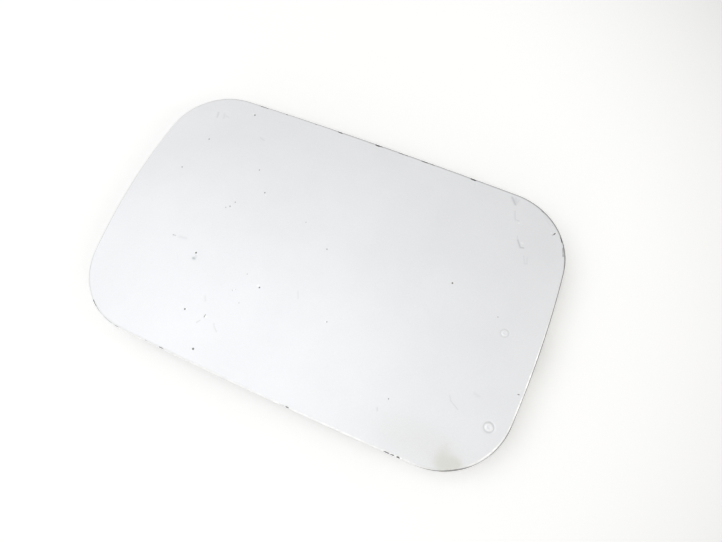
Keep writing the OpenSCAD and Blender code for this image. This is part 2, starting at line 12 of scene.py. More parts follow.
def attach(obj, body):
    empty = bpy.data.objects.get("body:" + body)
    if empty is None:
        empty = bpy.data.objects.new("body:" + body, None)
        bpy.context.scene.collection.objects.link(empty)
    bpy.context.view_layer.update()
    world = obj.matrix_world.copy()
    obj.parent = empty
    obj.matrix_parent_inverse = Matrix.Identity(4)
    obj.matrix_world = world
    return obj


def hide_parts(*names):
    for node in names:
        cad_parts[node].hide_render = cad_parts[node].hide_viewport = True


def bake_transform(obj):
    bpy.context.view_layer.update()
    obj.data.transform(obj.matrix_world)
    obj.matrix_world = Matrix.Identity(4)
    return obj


MM = 0.001

# Outline and crown of the flap
HALF_LEN = 190.0 / 2
HALF_W = 119.6 / 2
HINGE_END_R = 475.0
CATCH_END_R = 290.0
SIDE_R = 3300.0
CORNER_R = 28.7
CROWN_LEN_R = 6000.0
CROWN_WID_R = 1200.0

# Sheet and hem
SHEET_T = 0.8
LAP_GAP = 0.05
HEM_W = 9.0
HEM_R = SHEET_T * 1.5 + LAP_GAP
HEM_INNER_R = HEM_R - SHEET_T

# Hinge: the pin lies along Y, and the skin's height follows from what turns round it
PIN_INSET = 6.5
PIN_H = 7.2
PIN_R = 2.0
PIN_PLAY = 0.05
BUSH_WALL = 0.7
BUSH_FIT = 0.02
ARM_T = 1.6
EYE_OUT_R = PIN_R + PIN_PLAY + BUSH_WALL + BUSH_FIT + ARM_T
SWING_GAP = 0.3
WING_BACK = 12.2
PIN = np.array([HALF_LEN - PIN_INSET, 0.0, PIN_H])
FACE_Z = PIN_H + EYE_OUT_R + SWING_GAP + 2 * HEM_R + PIN[0] ** 2 / (2 * CROWN_LEN_R)

# Inner panel: flange widths, wall, and the pad with its beads and holes
SIDE_FLANGE = 13.0
HINGE_FLANGE = 31.0
CATCH_FLANGE = 27.0
WALL_W = 8.0
PAD_DEPTH = 4.5
PAD_CORNER_R = 15.0
PAD_TOP_Z = FACE_Z - SHEET_T - PAD_DEPTH
PAD_X0 = CATCH_FLANGE + WALL_W - HALF_LEN
PAD_X1 = HALF_LEN - HINGE_FLANGE - WALL_W
PAD_MID_X = (PAD_X0 + PAD_X1) / 2
PAD_HALF_W = HALF_W - SIDE_FLANGE - WALL_W
BEAD_W = 9.0
BEAD_H = 2.0
BEAD_END_GAP = 25.0
BEAD_SIDE_GAP = 19.8
BEAD_LEN = PAD_X1 - PAD_X0 - 2 * BEAD_END_GAP
BEAD_Y = PAD_HALF_W - BEAD_SIDE_GAP
LIGHT_D = 16.0
LIGHT_END_GAP = 26.0
LIGHT_PITCH = (PAD_X1 - PAD_X0) / 2 - LIGHT_END_GAP
DRAIN_D = 5.0
DRAIN_Y = BEAD_Y + BEAD_W / 2 + DRAIN_D
BUFFER_END_GAP = 43.0
BUFFER_SIDE_GAP = 29.8
BUFFER_X = BUFFER_END_GAP - HALF_LEN
BUFFER_Y = HALF_W - BUFFER_SIDE_GAP
BUFFER_HOLE_D = 5.2

# Soft forms that only the finer meshes have: the beads' foot, and the lips of the large holes
BEAD_SOFT = 0.22
LIP_H = 0.7
LIP_REACH = 0.9

# Torsion spring
WIRE_R = 0.6
COIL_PLAY = 0.35
COIL_R = PIN_R + COIL_PLAY + WIRE_R
COIL_TURNS = 5
TURN_GAP = 0.3
COIL_PITCH = 2 * WIRE_R + TURN_GAP

# Spot welds of the hinge bracket and of the catch lug, on the hidden sheets
WELD_R = 2.6
BRACKET_WELDS = [(x, y) for x in (68.5, 79.5) for y in (-36.5, 36.5)]
BRACKET_WELDS += [(68.8, -11.0), (68.8, 11.0), (80.0, 0.0)]
LUG_WELDS = [(-77.5, -7.5), (-77.5, 7.5), (-73.5, 0.0)]

# Mesh density: pitches of points, steps of an angle and numbers of rings
RIM_PITCH = 0.5
FACE_PITCH = 1.92
FACE_LEVELS = 3
FINER = [(0.5, 1), (1.1, 2), (2.4, 4)]  # distance to a mark, step over the finest points
UNDER_PITCH = 5.0
PANEL_PITCH = 1.0
PAD_PITCH = 1.15
ROLL_STEP = 9
INNER_ROLL_STEP = 36
FLANGE_RINGS = 14
WALL_RINGS = 15
TURN_STEPS = 48
WIRE_SIDES = 20
LIGHT_SIDES = 72
HOLE_SIDES = 32

# Room kept free of loose points: inside the face's rim for fine and coarse ones, inside the
# pad's rim and round its holes. A weld ring's fine mesh reaches past its radius.
FINE_ROOM = 0.25
COARSE_ROOM = 1.0
PAD_ROOM = 0.6
HOLE_ROOM = 0.5
RING_REACH = 0.5

# Insets of the flat rings inside the hem's roll, and what the return flange is drawn with
FACE_RINGS = (3.2, 2.4, 1.75)
RETURN_RINGS = (3.0, 6.0)
RETURN_INNER = 5.0
LIP_CUT = (0.25, 0.2)

# Relief of the face: height and lengths (over two pi) of its slow and short waves, depth of
# folds and of chips, and how far all of it is sunk to stay within the CAD model's height
WAVE_H = 0.012
WAVE_LENS = (17.0, 13.0)
RIPPLE_H = 0.008
RIPPLE_LENS = (7.3, 9.1)
FOLD_DEPTH = 0.05
CHIP_DEPTH = 0.09
SINK = 0.021

# Widths over which relief fades in at the roll, and marks fade out round it
RELIEF_FADE = 2.0
MARKS_END = 96.0
MARKS_FADE = 26.0

# Chips bite into the rolled edge: their depth, the inset where they are read, and their place
# down the roll
NICK_DEPTH = 0.16
NICK_INSET = 0.6
NICK_DROP = 0.5
NICK_REACH = 0.7

# Dark specks where the paint is chipped: x, y, radius
SPECKS = [
    (-58.8, 52.9, 0.40), (-72.5, 33.3, 0.32), (-76.8, 15.8, 0.30), (-43.0, 27.5, 0.26),
    (-35.4, 18.3, 0.32), (-48.2, 5.6, 0.22), (-46.7, 6.7, 0.29), (-45.5, 9.3, 0.27),
    (1.2, 4.7, 0.27), (54.3, 10.9, 0.40), (14.2, -23.4, 0.26), (75.5, 4.7, 0.22),
    (-25.1, -18.0, 0.19), (-17.6, -21.2, 0.37), (-22.5, -30.3, 0.20), (-42.3, -41.3, 0.40),
    (-31.1, -54.3, 0.48), (48.3, -41.1, 0.25), (-50.0, -18.0, 0.44), (-12.4, 12.4, 0.20),
    (-27.6, -26.6, 0.16), (-26.5, -25.7, 0.16),
]
# Pale flecks of lifted clear coat, many beside a speck: x, y, radius
FLECKS = [
    (-59.7, 53.2, 0.55), (-34.5, 17.4, 0.40), (-18.4, -20.7, 0.62), (-31.4, -55.0, 0.40),
    (54.9, 11.3, 0.40), (13.6, -23.6, 0.50), (-32.2, -40.7, 0.55), (-27.0, -26.1, 0.35),
    (-50.8, -17.7, 0.40), (-49.3, -18.4, 0.36), (-41.6, -41.0, 0.45), (84.0, 47.0, 0.36),
    (85.8, 47.6, 0.34), (74.4, 38.1, 0.66), (70.4, 46.2, 0.45), (48.2, 57.2, 0.45),
    (92.2, -18.7, 0.30),
]
# Short dark scratches: x and y of both ends, half width, depth of tone
SCRATCHES = [
    (-63.7, -14.6, -62.3, -14.4, 0.34, 0.50), (-33.2, -41.2, -33.1, -40.0, 0.34, 0.55),
    (85.1, 46.7, 85.5, 47.3, 0.29, 1.00), (84.6, 46.3, 84.8, 46.5, 0.22, 0.70),
    (91.8, -20.4, 92.7, -20.2, 0.31, 0.66),
]
# Chips on the rolled edge: x and y of both ends, half width, depth of tone
EDGE_CHIPS = [
    (-58.4, 58.8, -55.0, 58.8, 0.50, 1.00), (-45.1, 59.0, -44.5, 59.0, 0.44, 0.90),
    (-30.2, 59.2, -29.6, 59.2, 0.44, 0.95), (-18.2, 59.1, -16.8, 59.0, 0.55, 1.00),
    (0.4, 59.1, 1.6, 59.0, 0.66, 1.00), (2.3, 59.3, 3.0, 59.3, 0.55, 1.00),
    (11.4, 59.0, 13.4, 59.1, 0.36, 0.72), (14.2, 59.0, 15.4, 59.0, 0.34, 0.60),
    (22.2, 58.9, 25.1, 58.9, 0.38, 0.80), (26.0, 58.9, 28.2, 58.9, 0.34, 0.62),
    (32.8, 59.1, 34.1, 59.1, 0.32, 0.45), (45.3, 58.9, 46.8, 58.8, 0.72, 1.00),
    (77.5, 55.3, 78.5, 54.8, 0.42, 0.52), (80.5, 53.1, 81.0, 52.8, 0.44, 0.42),
    (83.2, 50.9, 83.7, 50.4, 0.46, 0.46), (88.2, 46.6, 89.2, 44.8, 0.46, 0.66),
    (90.2, 42.6, 91.4, 38.8, 0.46, 0.50), (-81.2, -53.4, -80.3, -54.1, 0.50, 1.00),
    (-80.0, -54.2, -78.6, -55.0, 0.38, 0.72), (-78.1, -55.3, -76.2, -56.2, 0.32, 0.52),
    (-73.0, -57.5, -68.4, -58.5, 0.34, 0.44), (-66.8, -58.7, -65.1, -58.8, 0.38, 0.50),
    (-51.8, -59.0, -50.5, -59.0, 0.34, 0.45), (-44.8, -59.1, -42.8, -59.1, 0.42, 0.55),
    (10.2, -59.4, 12.4, -59.4, 0.34, 0.42), (13.3, -59.4, 14.3, -59.4, 0.36, 0.70),
    (54.1, -59.1, 56.0, -59.1, 0.36, 0.70), (56.8, -59.1, 57.8, -59.0, 0.36, 0.66),
    (59.3, -59.0, 59.9, -59.0, 0.42, 0.95),
]
# Folds in the clear coat and faint scuffs: corners as x, y, then half width and depth of tone
FOLDS = [
    ([(64.1, 56.7), (66.4, 54.0)], 0.60, 0.50),
    ([(67.5, 56.9), (66.6, 54.3)], 0.42, 0.26),
    ([(65.7, 56.7), (66.5, 54.7)], 0.95, 0.27),
    ([(67.2, 51.0), (68.5, 47.1), (70.2, 47.2)], 0.36, 0.30),
    ([(71.7, 40.3), (72.4, 38.7)], 0.34, 0.28),
    ([(72.4, 38.7), (74.3, 36.0), (75.6, 36.3)], 0.42, 0.50),
    ([(76.8, 32.9), (78.0, 29.8), (79.0, 30.1), (78.2, 33.0)], 0.34, 0.24),
    ([(-60.5, -14.3), (-57.4, -13.9)], 0.85, 0.24),
    ([(-37.0, -33.2), (-36.0, -35.0)], 0.60, 0.24),
    ([(-35.0, -44.3), (-34.1, -43.0)], 0.36, 0.36),
    ([(-56.9, -22.0), (-55.7, -23.9)], 0.24, 0.20),
    ([(-28.1, -41.9), (-27.3, -43.1), (-25.4, -44.5)], 0.34, 0.30),
    ([(-2.1, -16.4), (-0.7, -19.3)], 0.34, 0.26),
    ([(-75.6, 47.8), (-75.0, 45.4)], 0.62, 0.32),
    ([(-72.6, 48.3), (-71.8, 45.9)], 0.70, 0.22),
    ([(-71.5, 47.5), (-69.8, 47.2)], 0.50, 0.22),
    ([(-50.3, 42.7), (-48.3, 42.1)], 0.50, 0.26),
    ([(69.0, -30.9), (70.0, -32.5), (73.5, -34.4)], 0.32, 0.30),
    ([(77.2, -26.4), (79.0, -26.8)], 0.80, 0.20),
    ([(78.6, 54.5), (80.2, 52.7), (82.2, 50.5)], 0.80, 0.16),
    ([(45.6, -45.9), (46.1, -46.8)], 0.40, 0.34),
]
# Spot-weld rings that show through at the hinge end: x, y, radius, height
WELD_RINGS = [(86.1, -35.8, 1.85, 0.20), (80.0, -0.3, 1.55, 0.10)]
# Their ridge, with a painted highlight: place and width as shares of the radius, tone per height and its
# limit
RIDGE = 0.6
RIDGE_W = 0.24
RIDGE_HIGHLIGHT = 6.0
RIDGE_HIGHLIGHT_MAX = 0.85
# Their rim, with painted shade in the trough: width, tone per height and its limit
RIM_W = 0.34
RIM_SHADE = 3.0
RIM_SHADE_MAX = 0.45
# Their swelling, place and width as shares of the radius, and the trough round it, depth as a
# share of the height
SWELL = 0.5
SWELL_W = 0.34
TROUGH = 0.6
TROUGH_W = 0.42
# Dried dirt near the lower edge and the thin film round it: x, y, reach along x and y, depth
SMUDGES = [
    (76.0, -54.4, 3.5, 3.0, 0.60), (79.8, -53.4, 2.0, 2.3, 0.56), (74.2, -50.2, 2.1, 3.2, 0.15),
    (64.0, -51.0, 36.0, 15.0, 0.45),
]
# Bruise beside a speck and its faint halo: x, y, reach along x and y, depth
BRUISES = [(-49.7, -20.6, 0.95, 0.62, 1.00), (-49.2, -19.3, 0.90, 0.80, 0.42)]
HALO = (-47.1, -21.4, 2.20, 1.60, 0.20)

# Painted shade on the rolled edge: a dark film, also duller, by the direction the edge faces: degrees
# from +X, weight, and the angles round the roll at which the film starts and ends
EDGE_SHADE_FILM = [
    (-180, 0.22, 45, 130), (-125, 0.10, 70, 130), (-105, 0.10, 76, 130), (-90, 0.20, 70, 130),
    (-88.6, 0.55, 58, 130), (-82, 0.80, 48, 130), (-76, 1, 44, 130), (-70, 1, 38, 130),
    (-62, 1, 26, 130), (-55, 1, 28, 130), (-48, 1, 42, 130), (-40, 1, 52, 130),
    (-32, 1, 50, 130), (-25, 1, 40, 130), (-12, 1, 35, 130), (-5, 1, 35, 130),
    (-3, 1, 46, 130), (-1, 1, 36, 130), (3, 1, 32, 130), (9, 1, 22, 130),
    (18, 1, 16, 110), (30, 1, 16, 110), (60, 0.85, 5, 80), (88, 0.55, 4, 70),
    (89.3, 0.46, 2, 60), (90, 0.44, 2, 60), (90.3, 0.46, 5, 70), (90.5, 0.46, 12, 85),
    (91, 0.34, 14, 90), (120, 0.28, 12, 95), (150, 0.24, 28, 130), (180, 0.22, 45, 130),
]
SHADE_FILM_FADE_IN = 12.0
SHADE_FILM_FADE_OUT = 25.0
# Painted highlight on the rolled edge above the painted shade, where the clear coat is also glossier:
# direction, weight, angle round the roll, width
EDGE_HIGHLIGHT = [
    (-180, 0.15, 40, 15), (-120, 0.55, 52, 24), (-95, 0.95, 60, 34), (-85, 1, 58, 32),
    (-70, 1, 40, 18), (-50, 1, 28, 16), (-25, 1, 24, 16), (-8, 1, 27, 17),
    (0, 1, 25, 15), (4, 0.30, 20, 15), (12, 0, 12, 15), (180, 0.15, 40, 15),
]

# Camera, solved from the flap's outline in the photograph: where it stands, what it looks at,
# its roll in degrees, its lens, the nearest distance seen (metres), and the offset of the
# picture's middle in pixels
EYE = (56.567, -53.843, 212.619)
LOOK_AT = (18.672, 1.109, 15.0)
ROLL = -11.423
SENSOR_W = 36.0
LENS = 25.40
CLIP_NEAR = 0.005
PHOTO_W = 722
PHOTO_SHIFT = (-0.75, 0.85)

# Soft lamps: name, place in metres, side in metres, brightness of the surface, colour
LAMPS = [
    ("soft_high", (-0.455, -0.20, 1.13), 1.12, 1.405, (0.925, 0.957, 1.0)),
    ("soft_low", (0.96, -0.44, 0.82), 0.30, 3.8, (1.0, 0.97, 0.90)),
    ("soft_side", (1.14, 0.17, 0.60), 0.32, 2.6, (1.0, 0.98, 0.95)),
    ("soft_front", (-0.15, -1.20, 0.30), 0.50, 1.7, (1.0, 1.0, 1.0)),
]
# The room as mirrors and the camera see it, and as it lights the part
ROOM_SEEN = (0.76, 0.76, 0.76)
ROOM_FELT = (0.545, 0.54, 0.528)

# The floor's half side and its drop under the part, its extra brightness, the middle and radius
# of the evenly bright area, and how far past that area the extra brightness is gone
FLOOR_HALF = 3000.0
FLOOR_DROP = 0.02
FLOOR_GLOW = 0.20
FLOOR_MIDDLE = (-70.0, 20.0)
FLOOR_EVEN_R = 155.0
FLOOR_FADE = 120.0


# --- Outline and face -----------------------------------------------------


def outline_arcs(reach_hinge, reach_catch, half_w, corner_r):
    """Eight arcs of an outline like the flap's, each as centre x, centre y, radius, two angles."""
    hinge_c = np.array([reach_hinge - HINGE_END_R, 0.0])
    catch_c = np.array([CATCH_END_R - reach_catch, 0.0])
    side_c = np.array([0.0, half_w - SIDE_R])

    def meet(p, rp, q, rq, side):
        """Point at given distances from two others."""
        d = np.linalg.norm(q - p)
        u = (q - p) / d
        along = (rp * rp - rq * rq + d * d) / (2 * d)
        across = math.sqrt(rp * rp - along * along)
        return p + u * along + side * across * np.array([-u[1], u[0]])

    kh = meet(side_c, SIDE_R - corner_r, hinge_c, HINGE_END_R - corner_r, -1)
    kc = meet(side_c, SIDE_R - corner_r, catch_c, CATCH_END_R - corner_r, 1)
    ah = math.atan2(kh[1], kh[0] - hinge_c[0])
    bh = math.atan2(kh[1] - side_c[1], kh[0])
    bc = math.atan2(kc[1] - side_c[1], kc[0])
    ac = math.atan2(kc[1], kc[0] - catch_c[0])
    turn = 2 * math.pi
    return [
        (hinge_c[0], 0.0, HINGE_END_R, -ah, ah),
        (kh[0], kh[1], corner_r, ah, bh),
        (0.0, side_c[1], SIDE_R, bh, bc),
        (kc[0], kc[1], corner_r, bc, ac),
        (catch_c[0], 0.0, CATCH_END_R, ac, turn - ac),
        (kc[0], -kc[1], corner_r, turn - ac, turn - bc),
        (0.0, -side_c[1], SIDE_R, turn - bc, turn - bh),
        (kh[0], -kh[1], corner_r, -bh, -ah),
    ]


def rim_arcs():
    """Outline of the whole flap."""
    return outline_arcs(HALF_LEN, HALF_LEN, HALF_W, CORNER_R)


def panel_arcs():
    """Outline of the inner panel's wall where it leaves the flange."""
    half_w = HALF_W - SIDE_FLANGE
    return outline_arcs(HALF_LEN - HINGE_FLANGE, HALF_LEN - CATCH_FLANGE, half_w, PAD_CORNER_R + WALL_W)


class Plan:
    """Outline whose points can be moved inward, each along its own normal."""

    def __init__(self, arcs, spacing):
        centres, radii, angles = [], [], []
        for cx, cy, r, a0, a1 in arcs:
            steps = max(2, round(r * abs(a1 - a0) / spacing))
            for a in np.linspace(a0, a1, steps, endpoint=False):
                centres.append((cx, cy))
                radii.append(r)
                angles.append(a)
        self.centres = np.array(centres)
        self.radii = np.array(radii)
        self.out = np.stack([np.cos(angles), np.sin(angles)], 1)
        self.count = len(radii)

    def at(self, inset):
        """Points of the outline, moved inward."""
        return self.centres + self.out * (self.radii - inset)[:, None]


def inside_outline(x, y, arcs, inset):
    """Whether points lie inside an outline of eight convex arcs, moved inward."""
    ok = np.ones(len(x), bool)
    for cx, cy, r, _, _ in arcs[0::2]:
        ok &= np.hypot(x - cx, y - cy) < r - inset
    for cx, cy, r, _, _ in arcs[1::2]:
        beyond = (np.sign(cx) * (x - cx) > 0) & (np.sign(cy) * (y - cy) > 0)
        ok &= ~beyond | (np.hypot(x - cx, y - cy) < r - inset)
    return ok


def face(x, y):
    """Height of the painted face."""
    return FACE_Z - x * x / (2 * CROWN_LEN_R) - y * y / (2 * CROWN_WID_R)


def under_face(points, drop):
    """Points of the plan at a depth under the painted face."""
    return np.column_stack([points, face(points[:, 0], points[:, 1]) - drop])


# --- Marks on the face ----------------------------------------------------


def capsule(x, y, x0, y0, x1, y1):
    """Distance from points to the line between two points."""
    dx, dy = x1 - x0, y1 - y0
    t = np.clip(((x - x0) * dx + (y - y0) * dy) / max(dx * dx + dy * dy, 1e-9), 0, 1)
    return np.hypot(x - x0 - t * dx, y - y0 - t * dy)


def polyline(x, y, corners):
    """Distance from points to a line through several corners."""
    return np.min([capsule(x, y, *a, *b) for a, b in zip(corners, corners[1:])], axis=0)


def mark(distance, size):
    """Height of a mark's field: above one in its core, zero at one and a half times its size."""
    return np.maximum(1.5 - distance / size, 0)


def dark_field(x, y):
    """Where the paint is chipped or scratched."""
    field = np.zeros_like(x)
    for px, py, r in SPECKS:
        field = np.maximum(field, mark(np.hypot(x - px, y - py), r))
    for *ends, w, tone in SCRATCHES + EDGE_CHIPS:
        field = np.maximum(field, tone * mark(capsule(x, y, *ends), w))
    return field


def fleck_and_highlight_field(x, y):
    """Where the clear coat has lifted: flecks; and the painted highlights on the ridges of the weld
    rings.
    """
    field = np.zeros_like(x)
    for px, py, r in FLECKS:
        field = np.maximum(field, mark(np.hypot(x - px, y - py), r))
    # Painted highlight: a bright ring on each weld mark's ridge, stronger for a higher ring.
    for px, py, r, height in WELD_RINGS:
        ridge = np.abs(np.hypot(x - px, y - py) - RIDGE * r)
        tone = min(RIDGE_HIGHLIGHT_MAX, RIDGE_HIGHLIGHT * height)
        field = np.maximum(field, tone * mark(ridge, RIDGE_W * r))
    return field


def fold_field(x, y):
    """Where the clear coat is folded or scuffed, and the painted shade in the troughs of the weld rings.
    """
    field = np.zeros_like(x)
    for corners, w, tone in FOLDS:
        field = np.maximum(field, tone * mark(polyline(x, y, corners), w))
    # Painted shade: a grey ring in each weld mark's trough, stronger for a higher ring.
    for px, py, r, height in WELD_RINGS:
        rim = np.abs(np.hypot(x - px, y - py) - r)
        field = np.maximum(field, min(RIM_SHADE_MAX, RIM_SHADE * height) * mark(rim, RIM_W))
    return field


def cloud_field(x, y, clouds):
    """Sum of soft round clouds, each with its own middle, reach and depth."""
    def cloud(cx, cy, rx, ry, depth):
        return depth * np.exp(-(((x - cx) / rx) ** 2 + ((y - cy) / ry) ** 2))

    return np.sum([cloud(*c) for c in clouds], axis=0)


def relief(x, y):
    """Small heights on the face: slow waves, weld rings, folds of the clear coat and chips."""
    (wave_x, wave_y), (ripple_x, ripple_y) = WAVE_LENS, RIPPLE_LENS
    h = WAVE_H * np.sin(x / wave_x + 0.6) * np.sin(y / wave_y + 1.1)
    h += RIPPLE_H * np.sin(x / ripple_x + y / ripple_y)
    for px, py, r, height in WELD_RINGS:
        d = np.hypot(x - px, y - py)
        h += height * np.exp(-(((d - SWELL * r) / (SWELL_W * r)) ** 2))
        h -= TROUGH * height * np.exp(-(((d - r) / TROUGH_W) ** 2))
    h -= FOLD_DEPTH * np.clip(fold_field(x, y), 0, 1)
    h -= CHIP_DEPTH * np.clip(dark_field(x, y), 0, 1)
    return h - SINK


def mark_distance(x, y):
    """Distance to the nearest mark, which says how fine the mesh has to be."""
    near = np.full_like(x, 1e9)
    for px, py, r in SPECKS + FLECKS:
        near = np.minimum(near, np.hypot(x - px, y - py) - r)
    for *ends, w, _ in SCRATCHES + EDGE_CHIPS:
        near = np.minimum(near, capsule(x, y, *ends) - w)
    for corners, w, _ in FOLDS:
        near = np.minimum(near, polyline(x, y, corners) - w)
    for px, py, r, _ in WELD_RINGS:
        near = np.minimum(near, np.hypot(x - px, y - py) - r - RING_REACH)
    for px, py, rx, ry, _ in BRUISES:
        near = np.minimum(near, np.hypot(x - px, y - py) - max(rx, ry))
    return near


def by_direction(table, out):
    """Columns of a table, read at the directions in which the edge faces."""
    directions, *columns = zip(*table)
    facing = np.degrees(np.arctan2(out[:, 1], out[:, 0]))
    return [np.interp(facing, directions, column) for column in columns]


def edge_shade_film(out, deg):
    """Weight of the painted edge shade at an angle round the roll, for each direction of the edge."""
    weight, start, end = by_direction(EDGE_SHADE_FILM, out)
    t = np.clip((deg - start) / SHADE_FILM_FADE_IN, 0, 1)
    return weight * t * t * (3 - 2 * t) * np.clip((end - deg) / SHADE_FILM_FADE_OUT, 0, 1)


def edge_highlight(out, deg):
    """Weight of the painted highlight line at an angle round the roll."""
    weight, middle, width = by_direction(EDGE_HIGHLIGHT, out)
    return weight * np.exp(-(((deg - middle) / width) ** 2))


# --- Meshes ---------------------------------------------------------------


def new_object(name, verts, faces, fields=None, sharp=40):
    """Mesh object from millimetres, smooth but for edges sharper than an angle."""
    mesh = bpy.data.meshes.new(name)
    mesh.from_pydata((np.asarray(verts) * MM).tolist(), [], [list(map(int, f)) for f in faces])
    for key, values in (fields or {}).items():
        layer = mesh.attributes.new(key, "FLOAT", "POINT")
        layer.data.foreach_set("value", np.asarray(values, "f"))
    mesh.validate()
    mesh.polygons.foreach_set("use_smooth", np.ones(len(mesh.polygons), bool))
    mesh.set_sharp_from_angle(angle=math.radians(sharp))
    mesh.update()
    obj = bpy.data.objects.new(name, mesh)
    bpy.context.collection.objects.link(obj)
    return obj


def ring_faces(count, n, flip=False):
    """Quads between neighbouring rings of n points."""
    quads = []
    for k in range(count - 1):
        for i in range(n):
            a, b = k * n + i, k * n + (i + 1) % n
            quad = (a, a + n, b + n, b)
            quads.append(quad[::-1] if flip else quad)
    return quads


def lattice(x_reach, y_reach, pitch, level):
    """Triangular grid of points with their two indices. The points whose indices both divide by
    2 ** level lie at the stated pitch."""
    fine = pitch / 2 ** level
    row_h = fine * math.sqrt(0.75)
    rows = int(y_reach / row_h) + 2
    cols = int(x_reach / fine) + rows // 2 + 2
    j, i = np.meshgrid(np.arange(-rows, rows + 1), np.arange(-cols, cols + 1), indexing="ij")
    x = (i + j * 0.5) * fine
    y = j * row_h
    keep = np.abs(x) < x_reach
    return x[keep], y[keep], i[keep], j[keep]


def fill(loops, points):
    """Triangles inside the first loop and outside the others, through loose points."""
    coords = np.concatenate(loops + [points])
    edges, start = [], 0  # the loops' own edges, which the triangles keep to
    for loop in loops:
        n = len(loop)
        edges += [(start + i, start + (i + 1) % n) for i in range(n)]
        start += n
    out = delaunay_2d_cdt([Vector(p) for p in coords], edges, [], 1, 1e-7)
    tris = np.array([f for f in out[2] if len(f) == 3])
    origin = np.array([ids[0] if ids else -1 for ids in out[3]])
    tris = origin[tris]
    start = len(loops[0])
    for hole in loops[1:]:
        on_hole = (tris >= start) & (tris < start + len(hole))
        tris = tris[~on_hole.all(1)]
        start += len(hole)
    a, b, c = (coords[tris[:, k]] for k in range(3))
    area = (b[:, 0] - a[:, 0]) * (c[:, 1] - a[:, 1]) - (b[:, 1] - a[:, 1]) * (c[:, 0] - a[:, 0])
    tris[area < 0] = tris[area < 0][:, ::-1]
    return coords, tris


def renumber(tris, n, rim_start, loose_start):
    """A fill's triangles as tuples, its first n points being a rim that exists already."""
    moved = np.where(tris < n, tris + rim_start, tris - n + loose_start)
    return [tuple(t) for t in moved]


def thicken(verts, faces, thickness):
    """Gives an open sheet of faces its thickness, half to each side, and closes the rims."""
    halves = [((f[0], f[1], f[2]), (f[0], f[2], f[-1]))[: len(f) - 2] for f in faces]
    tris = np.array([t for pair in halves for t in pair])
    a, b, c = (verts[tris[:, k]] for k in range(3))
    across = np.cross(b - a, c - a)
    normal = np.zeros_like(verts)
    for k in range(3):
        np.add.at(normal, tris[:, k], across)
    normal /= np.linalg.norm(normal, axis=1)[:, None]
    n = len(verts)
    both = np.concatenate([verts + normal * thickness / 2, verts - normal * thickness / 2])
    edges = {(f[i], f[(i + 1) % len(f)]) for f in faces for i in range(len(f))}
    rims = [(p, q) for p, q in edges if (q, p) not in edges]
    closed = [tuple(f) for f in faces] + [tuple(v + n for v in f[::-1]) for f in faces]
    closed += [(q, p, p + n, q + n) for p, q in rims]
    return both, closed


# --- Outer skin -----------------------------------------------------------


def bend(r, deg):
    """Inset and drop of a point at an angle round the hem's roll."""
    a = math.radians(deg)
    return HEM_R - r * math.sin(a), HEM_R - r * math.cos(a)


def hem_rings():
    """Inset and drop of each ring, from the face round the hem to the underside, and the angle
    round the roll for the rings of the face and the roll."""
    rings = [(inset, 0.0) for inset in (*FACE_RINGS, HEM_R)]
    roll = [math.degrees((HEM_R - inset) / HEM_R) for inset, _ in rings]
    for deg in range(ROLL_STEP, 181, ROLL_STEP):
        rings.append(bend(HEM_R, deg))
        roll.append(float(deg))
    low = 2 * HEM_R
    top = low - SHEET_T
    cut_in, cut_down = LIP_CUT
    rings += [(inset, low) for inset in RETURN_RINGS]
    rings += [(HEM_W - cut_in, low), (HEM_W, low - cut_down)]
    rings += [(HEM_W, top + cut_down), (HEM_W - cut_in, top), (RETURN_INNER, top)]
    rings += [bend(HEM_INNER_R, deg) for deg in range(180, -1, -INNER_ROLL_STEP)]
    rings.append((FACE_RINGS[0], SHEET_T))
    return rings, roll


def face_points(arcs):
    """Loose points of the painted face, closer together near the marks."""
    x, y, i, j = lattice(HALF_LEN, HALF_W, FACE_PITCH, FACE_LEVELS)
    inside = inside_outline(x, y, arcs, FACE_RINGS[0] + FINE_ROOM)
    x, y, i, j = x[inside], y[inside], i[inside], j[inside]
    near = mark_distance(x, y)
    coarse = 2 ** FACE_LEVELS
    step = np.select([near < reach for reach, _ in FINER], [fine for _, fine in FINER], coarse)
    keep = (i % step == 0) & (j % step == 0)
    keep &= inside_outline(x, y, arcs, FACE_RINGS[0] + COARSE_ROOM) | (step < coarse)
    return np.column_stack([x[keep], y[keep]])


def underside_points(arcs):
    """Loose points of the skin's underside, evenly and widely spaced."""
    x, y, _, _ = lattice(HALF_LEN, HALF_W, UNDER_PITCH, 0)
    ok = inside_outline(x, y, arcs, UNDER_PITCH)
    return np.column_stack([x[ok], y[ok]])


def hem_points(plan, rings):
    """Points of each ring, with the chips' bites in the rolled edge."""
    rim = plan.at(NICK_INSET)
    nick = NICK_DEPTH * np.clip(dark_field(rim[:, 0], rim[:, 1]), 0, 1)
    points = []
    for inset, drop in rings:
        on_roll = inset < HEM_R + 0.01
        bite = math.exp(-((drop - NICK_DROP) / NICK_REACH) ** 2) if on_roll else 0.0
        points.append(under_face(plan.at(inset + nick * bite), drop))
    return points


def skin_weights(plan, rings, roll, count, on_face):
    """At each of the skin's points, the shares of marks and relief, the painted edge shade and the
    painted highlight.
    """
    n = plan.count
    marks, depth, shade_film, polish_and_highlight = (np.zeros(count) for _ in range(4))
    marks[on_face] = depth[on_face] = 1
    for k, (deg, (inset, _)) in enumerate(zip(roll, rings)):
        ring = slice(k * n, (k + 1) * n)
        marks[ring] = np.clip((MARKS_END - deg) / MARKS_FADE, 0, 1)
        depth[ring] = np.clip((inset - HEM_R) / RELIEF_FADE, 0, 1)
        # Painted edge shade and painted highlight, by the angle round the roll
        shade_film[ring] = edge_shade_film(plan.out, deg)
        polish_and_highlight[ring] = edge_highlight(plan.out, deg)
    return marks, depth, shade_film, polish_and_highlight


